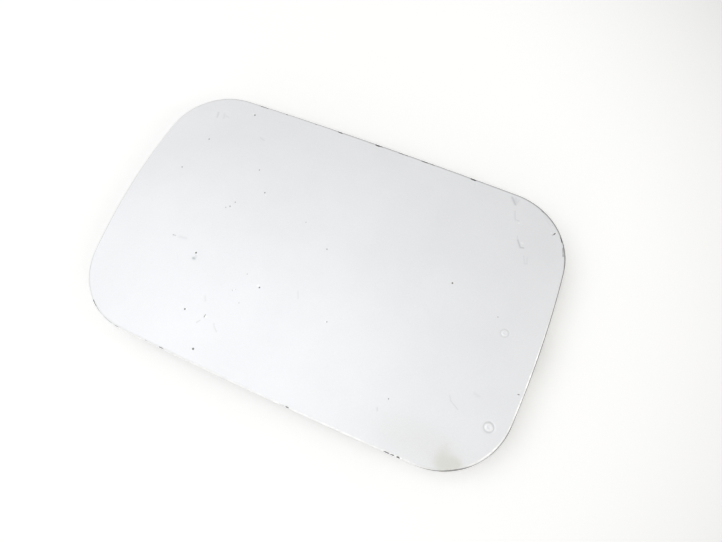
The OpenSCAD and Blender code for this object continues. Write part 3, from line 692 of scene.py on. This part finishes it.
def make_skin():
    """Painted outer skin: crowned face, rolled hem and return flange."""
    arcs = rim_arcs()
    plan = Plan(arcs, RIM_PITCH)
    rings, roll = hem_rings()
    n, last = plan.count, (len(rings) - 1) * plan.count
    face_loop = plan.at(FACE_RINGS[0])
    upper, lower = face_points(arcs), underside_points(arcs)
    on_face = slice(last + n, last + n + len(upper))
    faces = ring_faces(len(rings), n)
    faces += renumber(fill([face_loop], upper)[1], n, 0, on_face.start)
    faces += renumber(fill([face_loop], lower)[1][:, ::-1], n, last, on_face.stop)
    verts = hem_points(plan, rings) + [under_face(upper, 0.0), under_face(lower, SHEET_T)]
    verts = np.concatenate(verts)

    x, y = verts[:, 0], verts[:, 1]
    marks, depth, shade_film, polish_and_highlight = skin_weights(plan, rings, roll, len(verts), on_face)
    verts[:, 2] += relief(x, y) * depth
    fields = {
        "dark": dark_field(x, y) * marks,
        # The next two also carry the weld rings' painted highlight and painted shade.
        "fleck_and_highlight": fleck_and_highlight_field(x, y) * marks,
        "fold": fold_field(x, y) * marks,
        "grime": cloud_field(x, y, SMUDGES) * marks,
        "bruise": cloud_field(x, y, BRUISES + [HALO]) * marks,
        # Painted shade and painted highlight along the rolled edge
        "shade_film": shade_film,
        "polish_and_highlight": polish_and_highlight,
    }
    return new_object("painted_skin", verts, faces, fields)


# --- Inner panel ----------------------------------------------------------


def bead_height(x, y):
    """Height of the two stiffening beads over the pad, with a soft foot."""
    r = (BEAD_W ** 2 / 4 + BEAD_H ** 2) / (2 * BEAD_H)
    x0, x1 = PAD_MID_X - BEAD_LEN / 2, PAD_MID_X + BEAD_LEN / 2
    h = np.zeros_like(x)
    for bead_y in (-BEAD_Y, BEAD_Y):
        d = capsule(x, y, x0, bead_y, x1, bead_y)
        arc = np.sqrt(np.maximum(r * r - d * d, 0)) - (r - BEAD_H)
        h += np.where(d < BEAD_W, BEAD_SOFT * np.logaddexp(0, arc / BEAD_SOFT), 0)
    return h


def panel_holes():
    """Round holes of the pad as x, y, radius and number of points: three large lightening
    holes, two for the buffers and six drain holes."""
    light_xs = [PAD_MID_X + k * LIGHT_PITCH for k in (-1, 0, 1)]
    light = [(x, 0.0, LIGHT_D / 2, LIGHT_SIDES) for x in light_xs]
    buffers = [(BUFFER_X, s * BUFFER_Y, BUFFER_HOLE_D / 2, HOLE_SIDES) for s in (-1, 1)]
    drains = [(x, s * DRAIN_Y, DRAIN_D / 2, HOLE_SIDES) for x in light_xs for s in (-1, 1)]
    return light + buffers + drains


def circle(cx, cy, r, n):
    """Points round a circle."""
    a = np.linspace(0, 2 * math.pi, n, endpoint=False)
    return np.column_stack([cx + r * np.cos(a), cy + r * np.sin(a)])


def panel_rings():
    """Rings of the panel's middle surface, from inside the hem over the wall to the pad."""
    edge = Plan(rim_arcs(), PANEL_PITCH)
    wall = Plan(panel_arcs(), PANEL_PITCH)
    at = np.linspace(0, 1, edge.count, endpoint=False)
    share = np.linspace(0, 1, wall.count + 1)

    def wall_at(inset):
        """The wall's outline with as many points as the edge."""
        closed = wall.at(inset)
        closed = np.vstack([closed, closed[:1]])
        return np.column_stack([np.interp(at, share, closed[:, k]) for k in range(2)])

    outer = edge.at(HEM_R + LAP_GAP)
    start = np.argmin(np.hypot(*(wall_at(0.0) - outer[0]).T))
    foot = np.roll(wall_at(0.0), -start, 0)
    mid_drop = SHEET_T + LAP_GAP + SHEET_T / 2
    pad_z = PAD_TOP_Z - SHEET_T / 2
    rings = []
    for t in np.linspace(0, 1, FLANGE_RINGS, endpoint=False):
        rings.append(under_face(outer * (1 - t) + foot * t, mid_drop))
    for t in np.linspace(0, 1, WALL_RINGS):
        ring = under_face(np.roll(wall_at(WALL_W * t), -start, 0), mid_drop)
        ease = t * t * (3 - 2 * t)
        ring[:, 2] = ring[:, 2] * (1 - ease) + pad_z * ease
        rings.append(ring)
    return rings, pad_z


def make_inner_panel():
    """Pressed inner panel: flange under the skin, sloping wall, pad with beads and holes."""
    rings, pad_z = panel_rings()
    n = len(rings[0])
    faces = ring_faces(len(rings), n, flip=True)
    holes = panel_holes()
    x, y, _, _ = lattice(HALF_LEN, HALF_W, PAD_PITCH, 0)
    ok = inside_outline(x, y, panel_arcs(), WALL_W + PAD_ROOM)
    for cx, cy, r, _ in holes:
        ok &= np.hypot(x - cx, y - cy) > r + HOLE_ROOM
    loose = np.column_stack([x[ok], y[ok]])
    coords, tris = fill([rings[-1][:, :2]] + [circle(*hole) for hole in holes], loose)
    faces += renumber(tris, n, (len(rings) - 1) * n, len(rings) * n)
    x, y = coords[n:].T
    height = bead_height(x, y)
    for cx, cy, r, _ in holes[:3]:
        height += LIP_H * np.exp(-(((np.hypot(x - cx, y - cy) - r) / LIP_REACH) ** 2))
    verts = np.concatenate(rings + [np.column_stack([x, y, pad_z + height])])
    return new_object("pressed_inner_panel", *thicken(verts, faces, SHEET_T))


# --- Torsion spring -------------------------------------------------------


def spring_path():
    """Centre line of the spring (arm leg, coil round the pin, flap leg) and half the coil's
    length."""
    arm_x, arm_z = -EYE_OUT_R - 2 * PIN_R, -EYE_OUT_R - WIRE_R - LAP_GAP
    flap_x, flap_z = 6 * WIRE_R, EYE_OUT_R + SWING_GAP - WIRE_R - 3 * LAP_GAP
    turn = 2 * math.pi

    def touch(x, z):
        """Angle between the line to a point outside the coil and the coil's touching point."""
        return math.acos(COIL_R / math.hypot(x, z))

    start = math.atan2(arm_z, arm_x) + turn + touch(arm_x, arm_z)
    stop = math.atan2(flap_z, flap_x) - touch(flap_x, flap_z) + turn * (COIL_TURNS + 1)
    half = COIL_PITCH * (stop - start) / (2 * turn)
    points = [
        (-WING_BACK - 2.5 * WIRE_R, -half, arm_z),
        (arm_x - 0.8 * WIRE_R, -half, arm_z),
        (arm_x + 0.7 * WIRE_R, -half, arm_z + WIRE_R / 6),
    ]
    steps = TURN_STEPS * (COIL_TURNS + 1)
    for i in range(steps + 1):
        a = start + (stop - start) * i / steps
        y = -half + 2 * half * i / steps
        points.append((COIL_R * math.cos(a), y, COIL_R * math.sin(a)))
    points += [
        (flap_x - WIRE_R / 2, half, flap_z - 1.5 * WIRE_R),
        (flap_x - WIRE_R / 12, half + WIRE_R / 2, flap_z - 0.4 * WIRE_R),
        (flap_x, half + 1.5 * WIRE_R, flap_z),
        (flap_x, half + 6 * WIRE_R, flap_z),
    ]
    return np.array(points) + PIN, half


def make_spring():
    """Round wire swept along the spring's centre line, and half the coil's length."""
    path, half = spring_path()
    tangent = np.gradient(path, axis=0)
    tangent /= np.linalg.norm(tangent, axis=1)[:, None]
    normal = np.array([0, 1, 0.01])
    verts = []
    for p, t in zip(path, tangent):
        normal = normal - t * np.dot(normal, t)
        normal /= np.linalg.norm(normal)
        other = np.cross(t, normal)
        for k in range(WIRE_SIDES):
            a = 2 * math.pi * k / WIRE_SIDES
            verts.append(p + WIRE_R * (math.cos(a) * normal + math.sin(a) * other))
    faces = ring_faces(len(path), WIRE_SIDES, flip=True)
    faces.append(tuple(range(WIRE_SIDES))[::-1])
    faces.append(tuple(range(len(verts) - WIRE_SIDES, len(verts))))
    return new_object("spring_wire", verts, faces), half


# --- Materials: scales are turns per millimetre, depths of relief are millimetres ---


class Shader:
    """Short way to write a material's nodes."""

    def __init__(self, name):
        self.mat = bpy.data.materials.new(name)
        self.mat.use_nodes = True
        self.tree = self.mat.node_tree
        self.tree.nodes.clear()
        self.out = self.tree.nodes.new("ShaderNodeOutputMaterial")
        self.bsdf = self.tree.nodes.new("ShaderNodeBsdfPrincipled")
        self.tree.links.new(self.bsdf.outputs[0], self.out.inputs["Surface"])
        coord = self.add("ShaderNodeTexCoord", output="Object")
        self.mm = self.add("ShaderNodeVectorMath", {0: coord, "Scale": 1 / MM}, operation="SCALE")

    def put(self, socket, value):
        """Links a socket to another node's output, or sets its value."""
        if isinstance(value, bpy.types.NodeSocket):
            self.tree.links.new(value, socket)
        elif isinstance(value, tuple) and len(value) == 3 and socket.type == "RGBA":
            socket.default_value = (*value, 1.0)
        else:
            socket.default_value = value

    def add(self, kind, inputs=None, output=0, **props):
        """New node with its inputs and properties set, as its output."""
        node = self.tree.nodes.new(kind)
        for key, value in props.items():
            setattr(node, key, value)
        for key, value in (inputs or {}).items():
            self.put(node.inputs[key], value)
        return node.outputs[output]

    def math(self, op, *values):
        return self.add("ShaderNodeMath", dict(enumerate(values)), operation=op)

    def times(self, a, b):
        return self.math("MULTIPLY", a, b)

    def plus(self, a, b):
        return self.math("ADD", a, b)

    def most(self, a, b):
        return self.math("MAXIMUM", a, b)

    def vector(self, op, a, b, output="Vector"):
        return self.add("ShaderNodeVectorMath", {0: a, 1: b}, output=output, operation=op)

    def noise(self, scale, detail=2.0, rough=0.5, stretch=None):
        place = self.vector("MULTIPLY", self.mm, stretch) if stretch else self.mm
        inputs = {"Vector": place, "Scale": scale, "Detail": detail, "Roughness": rough}
        return self.add("ShaderNodeTexNoise", inputs)

    def cells(self, scale):
        """Distance to the nearest of many scattered points."""
        return self.add("ShaderNodeTexVoronoi", {"Vector": self.mm, "Scale": scale}, "Distance")

    def flakes(self, scale):
        """A value that differs from cell to cell."""
        color = self.add("ShaderNodeTexVoronoi", {"Vector": self.mm, "Scale": scale}, "Color")
        return self.add("ShaderNodeSeparateColor", {0: color})

    def span(self, value, low, high, to_low=0.0, to_high=1.0, smooth=False):
        """A value taken from one range to another, and held at the ends."""
        inputs = {"Value": value, "From Min": low, "From Max": high, "To Min": to_low, "To Max": to_high}
        kind = "SMOOTHSTEP" if smooth else "LINEAR"
        return self.add("ShaderNodeMapRange", inputs, interpolation_type=kind)

    def mix(self, share, a, b):
        """Mix of two colours."""
        return self.add("ShaderNodeMix", {0: share, 6: a, 7: b}, output=2, data_type="RGBA")

    def field(self, name):
        """One of the skin's own fields."""
        return self.add("ShaderNodeAttribute", output="Fac", attribute_name=name)

    def bump(self, height, strength, distance, normal=None):
        inputs = {"Height": height, "Strength": strength, "Distance": distance * MM}
        if normal is not None:
            inputs["Normal"] = normal
        return self.add("ShaderNodeBump", inputs)

    def surface(self, **values):
        """Sets the surface's inputs, whose names have spaces for underscores."""
        for key, value in values.items():
            self.put(self.bsdf.inputs[key.replace("_", " ")], value)
        return self.mat


def silver_tone(s):
    """Metallic silver with slow drift of tone, flakes and grain."""
    dim, bright = (0.828, 0.830, 0.841), (0.863, 0.865, 0.875)
    sparkle, shade = (0.95, 0.95, 0.96), (0.58, 0.59, 0.61)
    base = s.mix(s.span(s.noise(0.035, 3.0), 0.3, 0.7), dim, bright)
    flake = s.flakes(5.5)
    base = s.mix(s.span(flake, 0.0, 1.0, 0.0, 0.14), base, sparkle)
    grain = s.noise(2.4, 3.0, 0.6)
    base = s.mix(s.span(grain, 0.35, 0.75, 0.0, 0.10), base, shade)
    return base, flake, grain


def worn_tone(s, base):
    """Folds, dirt, bruise and flecks over the silver, and how much dirt and chipping there is."""
    fold_grey, bruise_grey = (0.47, 0.48, 0.49), (0.42, 0.44, 0.44)
    dirt_tan, fleck_and_highlight_white = (0.52, 0.52, 0.36), (0.94, 0.94, 0.93)
    ragged = s.math("MULTIPLY_ADD", s.noise(2.6, 3.0, 0.65), 0.9, -0.45)
    # Folds and scuffs darken the colour, and so does the painted shade of the weld rings.
    base = s.mix(s.span(s.field("fold"), 0.0, 1.0, 0.0, 0.72, True), base, fold_grey)
    grime = s.plus(s.field("grime"), s.times(ragged, 0.35))
    grime = s.span(grime, 0.22, 0.86, smooth=True)
    base = s.mix(s.times(grime, 0.35), base, dirt_tan)
    bruise = s.plus(s.field("bruise"), s.times(ragged, 0.5))
    base = s.mix(s.span(bruise, 0.10, 1.1, 0.0, 0.80, True), base, bruise_grey)
    # Lifted flecks, and the weld rings' painted highlights, lighten the colour.
    torn = s.span(s.noise(1.7, 4.0, 0.7), 0.3, 0.7, -0.55, 0.55)
    fleck_and_highlight = s.plus(s.field("fleck_and_highlight"), torn)
    base = s.mix(s.span(fleck_and_highlight, 0.45, 1.1, 0.0, 0.9, True), base, fleck_and_highlight_white)
    dark = s.plus(s.field("dark"), s.times(ragged, 0.5))
    return base, grime, s.span(dark, 0.40, 0.85, smooth=True)


def silver_paint():
    """Metallic silver under worn clear coat, with chips, folds, dried dirt, and painted shade and
    highlight lines along the edge.
    """
    s = Shader("silver_paint")
    base, flake, grain = silver_tone(s)
    base, grime, dark = worn_tone(s, base)

    highlight_white, shade_film_grey = (0.98, 0.98, 0.97), (0.15, 0.147, 0.138)
    chip_on_face, chip_on_edge = (0.12, 0.115, 0.11), (0.03, 0.03, 0.03)
    broken = s.noise(0.55, 4.0, 0.7)
    # Painted highlight: a bright line on the rolled edge, mixed into the colour; there the coat is also
    # more metallic and glossier.
    polish_and_highlight = s.times(s.field("polish_and_highlight"), s.span(broken, 0.42, 0.56, 0.35, 1.0))
    base = s.mix(polish_and_highlight, base, highlight_white)
    # Painted shade: a dark line on the rolled edge, mixed into the colour; chips there are drawn darker
    # too.
    shade_film = s.times(s.field("shade_film"), s.span(broken, 0.3, 0.6, 1.0, 0.82))
    base = s.mix(shade_film, base, shade_film_grey)
    chip = s.mix(s.span(s.field("shade_film"), 0.0, 0.3), chip_on_face, chip_on_edge)
    base = s.mix(dark, base, chip)

    covered = s.most(s.most(dark, s.times(grime, 0.2)), s.times(shade_film, 0.8))
    metal = s.most(s.span(covered, 0.0, 1.0, 0.42, 0.0), s.times(polish_and_highlight, 0.85))
    rough = s.span(s.noise(0.9, 3.0), 0.3, 0.7, 0.52, 0.58)
    rough = s.math("SUBTRACT", s.most(rough, s.times(covered, 0.8)), s.times(polish_and_highlight, 0.28))
    coat = s.span(covered, 0.0, 1.0, 0.7, 0.05)
    peel = s.bump(s.noise(0.75, 2.0), 0.10, 0.05)
    fine = s.bump(s.plus(s.times(grain, 0.5), s.times(flake, 0.4)), 0.10, 0.02, peel)
    return s.surface(
        Base_Color=base, Metallic=metal, Roughness=rough, Normal=fine,
        Coat_Weight=coat, Coat_Roughness=0.30, Coat_IOR=1.5, Coat_Normal=peel,
    )


def discs(s, points, radius):
    """One inside small discs at the given x, y places, whatever the height."""
    flat = s.vector("MULTIPLY", s.mm, (1.0, 1.0, 0.0))
    total = 0.0
    for x, y in points:
        gap = s.vector("DISTANCE", flat, (x, y, 0.0), output="Value")
        total = s.most(total, s.span(gap, radius * 0.8, radius * 1.1, 1.0, 0.0, True))
    return total


def inner_paint():
    """Primer and thin overspray of the face colour on the hidden sheets, with weld dimples and painted
    shade in crevices.
    """
    s = Shader("inner_paint")
    primer_dim, primer_bright, overspray = (0.50, 0.51, 0.52), (0.62, 0.63, 0.65), (0.74, 0.75, 0.77)
    dirt_brown, shade_brown, weld_grey = (0.36, 0.35, 0.33), (0.27, 0.26, 0.24), (0.40, 0.40, 0.40)
    base = s.mix(s.span(s.noise(0.05, 4.0, 0.6), 0.3, 0.7), primer_dim, primer_bright)
    speck = s.span(s.cells(1.6), 0.0, 0.28, 1.0, 0.0, True)
    base = s.mix(s.times(speck, s.span(s.noise(0.4), 0.45, 0.7, 0.0, 0.55)), base, overspray)
    dirt = s.span(s.noise(0.16, 5.0, 0.7), 0.52, 0.80, 0.0, 0.45)
    base = s.mix(dirt, base, dirt_brown)
    # Painted shade: darker brown in crevices and corners, from ambient occlusion.
    occlusion_shade = s.add("ShaderNodeAmbientOcclusion", {"Distance": 5.0 * MM}, output="AO", samples=8)
    base = s.mix(s.span(occlusion_shade, 0.45, 0.95, 0.55, 0.0, True), base, shade_brown)
    weld = discs(s, BRACKET_WELDS + LUG_WELDS, WELD_R)
    base = s.mix(s.times(weld, 0.45), base, weld_grey)
    height = s.math("SUBTRACT", s.times(s.noise(0.9, 3.0, 0.6), 0.35), weld)
    normal = s.bump(s.noise(6.0, 2.0), 0.2, 0.02, s.bump(height, 0.5, 0.12))
    rough = s.span(s.noise(0.5, 3.0), 0.3, 0.7, 0.42, 0.62)
    return s.surface(Base_Color=base, Metallic=0.35, Roughness=rough, Normal=normal)


def zinc_steel(name, spangle_scale):
    """Dull zinc plating with spangle, rolling lines and light white bloom."""
    s = Shader(name)
    zinc_dim, zinc_bright, bloom_white = (0.56, 0.55, 0.50), (0.70, 0.69, 0.63), (0.78, 0.78, 0.76)
    spangle = s.flakes(spangle_scale)
    base = s.mix(spangle, zinc_dim, zinc_bright)
    bloom = s.span(s.noise(0.22, 5.0, 0.7), 0.55, 0.78, 0.0, 0.5)
    base = s.mix(bloom, base, bloom_white)
    lines = s.noise(1.0, 3.0, 0.6, stretch=(0.15, 6.0, 6.0))
    rough = s.span(s.plus(lines, s.times(spangle, 0.4)), 0.4, 1.1, 0.30, 0.52)
    normal = s.bump(s.plus(lines, s.times(s.noise(4.0), 0.6)), 0.25, 0.02)
    metal = s.span(bloom, 0.0, 1.0, 1.0, 0.4)
    return s.surface(Base_Color=base, Metallic=metal, Roughness=rough, Normal=normal)


def spring_steel():
    """Dark oiled wire with fine grain and a little rust."""
    s = Shader("spring_steel")
    steel_dim, steel_bright, rust_brown = (0.16, 0.16, 0.17), (0.33, 0.33, 0.34), (0.28, 0.18, 0.12)
    tone = s.noise(1.3, 4.0, 0.6)
    base = s.mix(s.span(tone, 0.3, 0.7), steel_dim, steel_bright)
    rust = s.span(s.noise(0.7, 5.0, 0.7), 0.60, 0.80, 0.0, 0.35)
    base = s.mix(rust, base, rust_brown)
    metal = s.span(rust, 0.0, 0.35, 1.0, 0.5)
    rough = s.span(tone, 0.3, 0.7, 0.24, 0.42)
    normal = s.bump(s.noise(7.0, 2.0), 0.15, 0.01)
    return s.surface(Base_Color=base, Metallic=metal, Roughness=rough, Normal=normal)


def bush_plastic():
    """Natural moulded bearing plastic with greasy grey streaks."""
    s = Shader("bush_plastic")
    plastic_dim, plastic_bright, grease = (0.80, 0.79, 0.73), (0.88, 0.87, 0.82), (0.52, 0.50, 0.45)
    streak = s.span(s.noise(0.8, 4.0, 0.65), 0.42, 0.75, 0.0, 0.45)
    base = s.mix(s.span(s.noise(2.5), 0.3, 0.7), plastic_dim, plastic_bright)
    base = s.mix(streak, base, grease)
    rough = s.span(streak, 0.0, 0.45, 0.45, 0.30)
    normal = s.bump(s.noise(5.0, 3.0), 0.15, 0.02)
    return s.surface(
        Base_Color=base, Roughness=rough, Normal=normal,
        Subsurface_Weight=0.08, Subsurface_Radius=(1.0 * MM, 1.0 * MM, 0.8 * MM),
    )


def soft_black(name, black, dusty, grain):
    """Rubber or mastic: matt black with dust in its grain."""
    s = Shader(name)
    dust = s.span(s.noise(0.6, 5.0, 0.7), 0.45, 0.75, 0.0, 0.5)
    base = s.mix(dust, black, dusty)
    fine = s.noise(grain, 3.0, 0.6)
    base = s.mix(s.span(fine, 0.4, 0.7, 0.0, 0.3), base, dusty)
    rough = s.span(dust, 0.0, 0.5, 0.62, 0.85)
    normal = s.bump(s.plus(fine, s.noise(grain / 6, 2.0)), 0.35, 0.05)
    return s.surface(Base_Color=base, Roughness=rough, Normal=normal)


def paint(obj, mat):
    """Gives an object one material."""
    obj.data.materials.clear()
    obj.data.materials.append(mat)


# --- Floor, light and camera ----------------------------------------------


def seen_directly(tree):
    """One for rays from the camera, from mirrors and through glass, zero for diffuse light."""
    path = tree.nodes.new("ShaderNodeLightPath")
    total = path.outputs["Is Camera Ray"]
    for name in ("Is Glossy Ray", "Is Transmission Ray"):
        both = tree.nodes.new("ShaderNodeMath")
        both.operation = "MAXIMUM"
        tree.links.new(total, both.inputs[0])
        tree.links.new(path.outputs[name], both.inputs[1])
        total = both.outputs[0]
    return total


def floor_white():
    """Matt white paper. Rays from the camera, mirrors and glass see it a little brighter, but
    less so away from the middle of the light, as at the photograph's right side."""
    s = Shader("floor_white")
    paper_dim, paper_bright, glow_color = (0.945, 0.942, 0.932), (0.955, 0.952, 0.945), (1.0, 1.0, 0.985)
    base = s.mix(s.span(s.noise(0.01, 2.0), 0.3, 0.7), paper_dim, paper_bright)
    away = s.vector("DISTANCE", s.mm, (*FLOOR_MIDDLE, 0.0), output="Value")
    beyond = s.most(s.math("SUBTRACT", away, FLOOR_EVEN_R), 0.0)
    loss = s.times(s.times(beyond, beyond), FLOOR_GLOW / FLOOR_FADE ** 2)
    glow = s.most(s.math("SUBTRACT", FLOOR_GLOW, loss), 0.0)
    return s.surface(
        Base_Color=base, Roughness=0.9, Specular_IOR_Level=0.1,
        Emission_Color=glow_color, Emission_Strength=s.times(seen_directly(s.tree), glow),
    )


def make_floor():
    """Flat floor just under the part."""
    corners = [(-1, -1, 0), (1, -1, 0), (1, 1, 0), (-1, 1, 0)]
    floor = new_object("floor", np.array(corners) * FLOOR_HALF, [(0, 1, 2, 3)])
    floor.location.z = -FLOOR_DROP * MM
    paint(floor, floor_white())


def add_lamp(name, place, size, radiance, color):
    """Square soft lamp that faces the part, with its brightness given as that of its surface."""
    lamp = bpy.data.lights.new(name, "AREA")
    lamp.shape = "SQUARE"
    lamp.size = size
    lamp.energy = radiance * math.pi * size * size
    lamp.color = color
    obj = bpy.data.objects.new(name, lamp)
    bpy.context.collection.objects.link(obj)
    obj.location = Vector(place)
    obj.rotation_euler = obj.location.to_track_quat("Z", "Y").to_euler()


def make_light():
    """Four soft lamps in an even room: a large one high on the catch side, small ones low at the
    hinge end and beside it, and one in front."""
    for lamp in LAMPS:
        add_lamp(*lamp)
    world = bpy.data.worlds.new("pale_room")
    bpy.context.scene.world = world
    world.use_nodes = True
    tree = world.node_tree
    tree.nodes.clear()
    out = tree.nodes.new("ShaderNodeOutputWorld")
    blend = tree.nodes.new("ShaderNodeMixShader")
    tree.links.new(seen_directly(tree), blend.inputs[0])
    for socket, color in ((1, ROOM_FELT), (2, ROOM_SEEN)):
        room = tree.nodes.new("ShaderNodeBackground")
        room.inputs["Color"].default_value = (*color, 1.0)
        tree.links.new(room.outputs[0], blend.inputs[socket])
    tree.links.new(blend.outputs[0], out.inputs["Surface"])


def make_camera():
    """Camera at the photograph's place, with its framing."""
    cam = bpy.data.cameras.new("camera")
    cam.sensor_width = SENSOR_W
    cam.lens = LENS
    cam.clip_start = CLIP_NEAR
    cam.shift_x, cam.shift_y = (pixels / PHOTO_W for pixels in PHOTO_SHIFT)
    obj = bpy.data.objects.new("camera", cam)
    bpy.context.collection.objects.link(obj)
    back = (Vector(EYE) - Vector(LOOK_AT)).normalized()
    level = Vector((0, 0, 1)).cross(back).normalized()
    roll = math.radians(ROLL)
    right = level * math.cos(roll) + back.cross(level) * math.sin(roll)
    turn = Matrix((right, back.cross(right), back)).transposed()
    obj.matrix_world = Matrix.Translation(Vector(EYE) * MM) @ turn.to_4x4()
    bpy.context.scene.camera = obj


# --- The scene ------------------------------------------------------------

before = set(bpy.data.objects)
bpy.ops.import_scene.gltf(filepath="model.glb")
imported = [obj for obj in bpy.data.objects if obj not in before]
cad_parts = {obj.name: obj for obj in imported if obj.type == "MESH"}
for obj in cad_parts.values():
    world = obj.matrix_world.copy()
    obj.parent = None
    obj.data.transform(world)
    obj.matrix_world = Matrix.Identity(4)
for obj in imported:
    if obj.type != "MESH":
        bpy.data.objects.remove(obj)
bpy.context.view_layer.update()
make_camera()
make_floor()
make_light()

silver = silver_paint()
inner = inner_paint()
zinc = zinc_steel("zinc_steel", 0.9)
pin_zinc = zinc_steel("zinc_pin", 4.5)
steel = spring_steel()
plastic = bush_plastic()
rubber = soft_black("buffer_rubber", (0.028, 0.028, 0.030), (0.10, 0.10, 0.105), 4.0)
mastic = soft_black("mastic", (0.03, 0.03, 0.03), (0.09, 0.09, 0.09), 1.5)
FINISH = {
    "hinge_bracket": inner, "catch_lug": inner, "hinge_arm": zinc, "hinge_pin": pin_zinc,
    "pin_clip": steel, "bush_upper": plastic, "bush_lower": plastic, "buffer_upper": rubber,
    "buffer_lower": rubber, "mastic_pad_left": mastic, "mastic_pad_right": mastic,
}
for node_name, finish in FINISH.items():
    paint(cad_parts[node_name], finish)

skin = make_skin()
paint(skin, silver)
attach(skin, "flap")
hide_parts("outer_skin")

panel = make_inner_panel()
paint(panel, inner)
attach(panel, "flap")
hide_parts("inner_panel")

spring, coil_half = make_spring()
paint(spring, steel)
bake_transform(spring)
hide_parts("torsion_spring")

bpy.context.scene.view_settings.view_transform = "Standard"
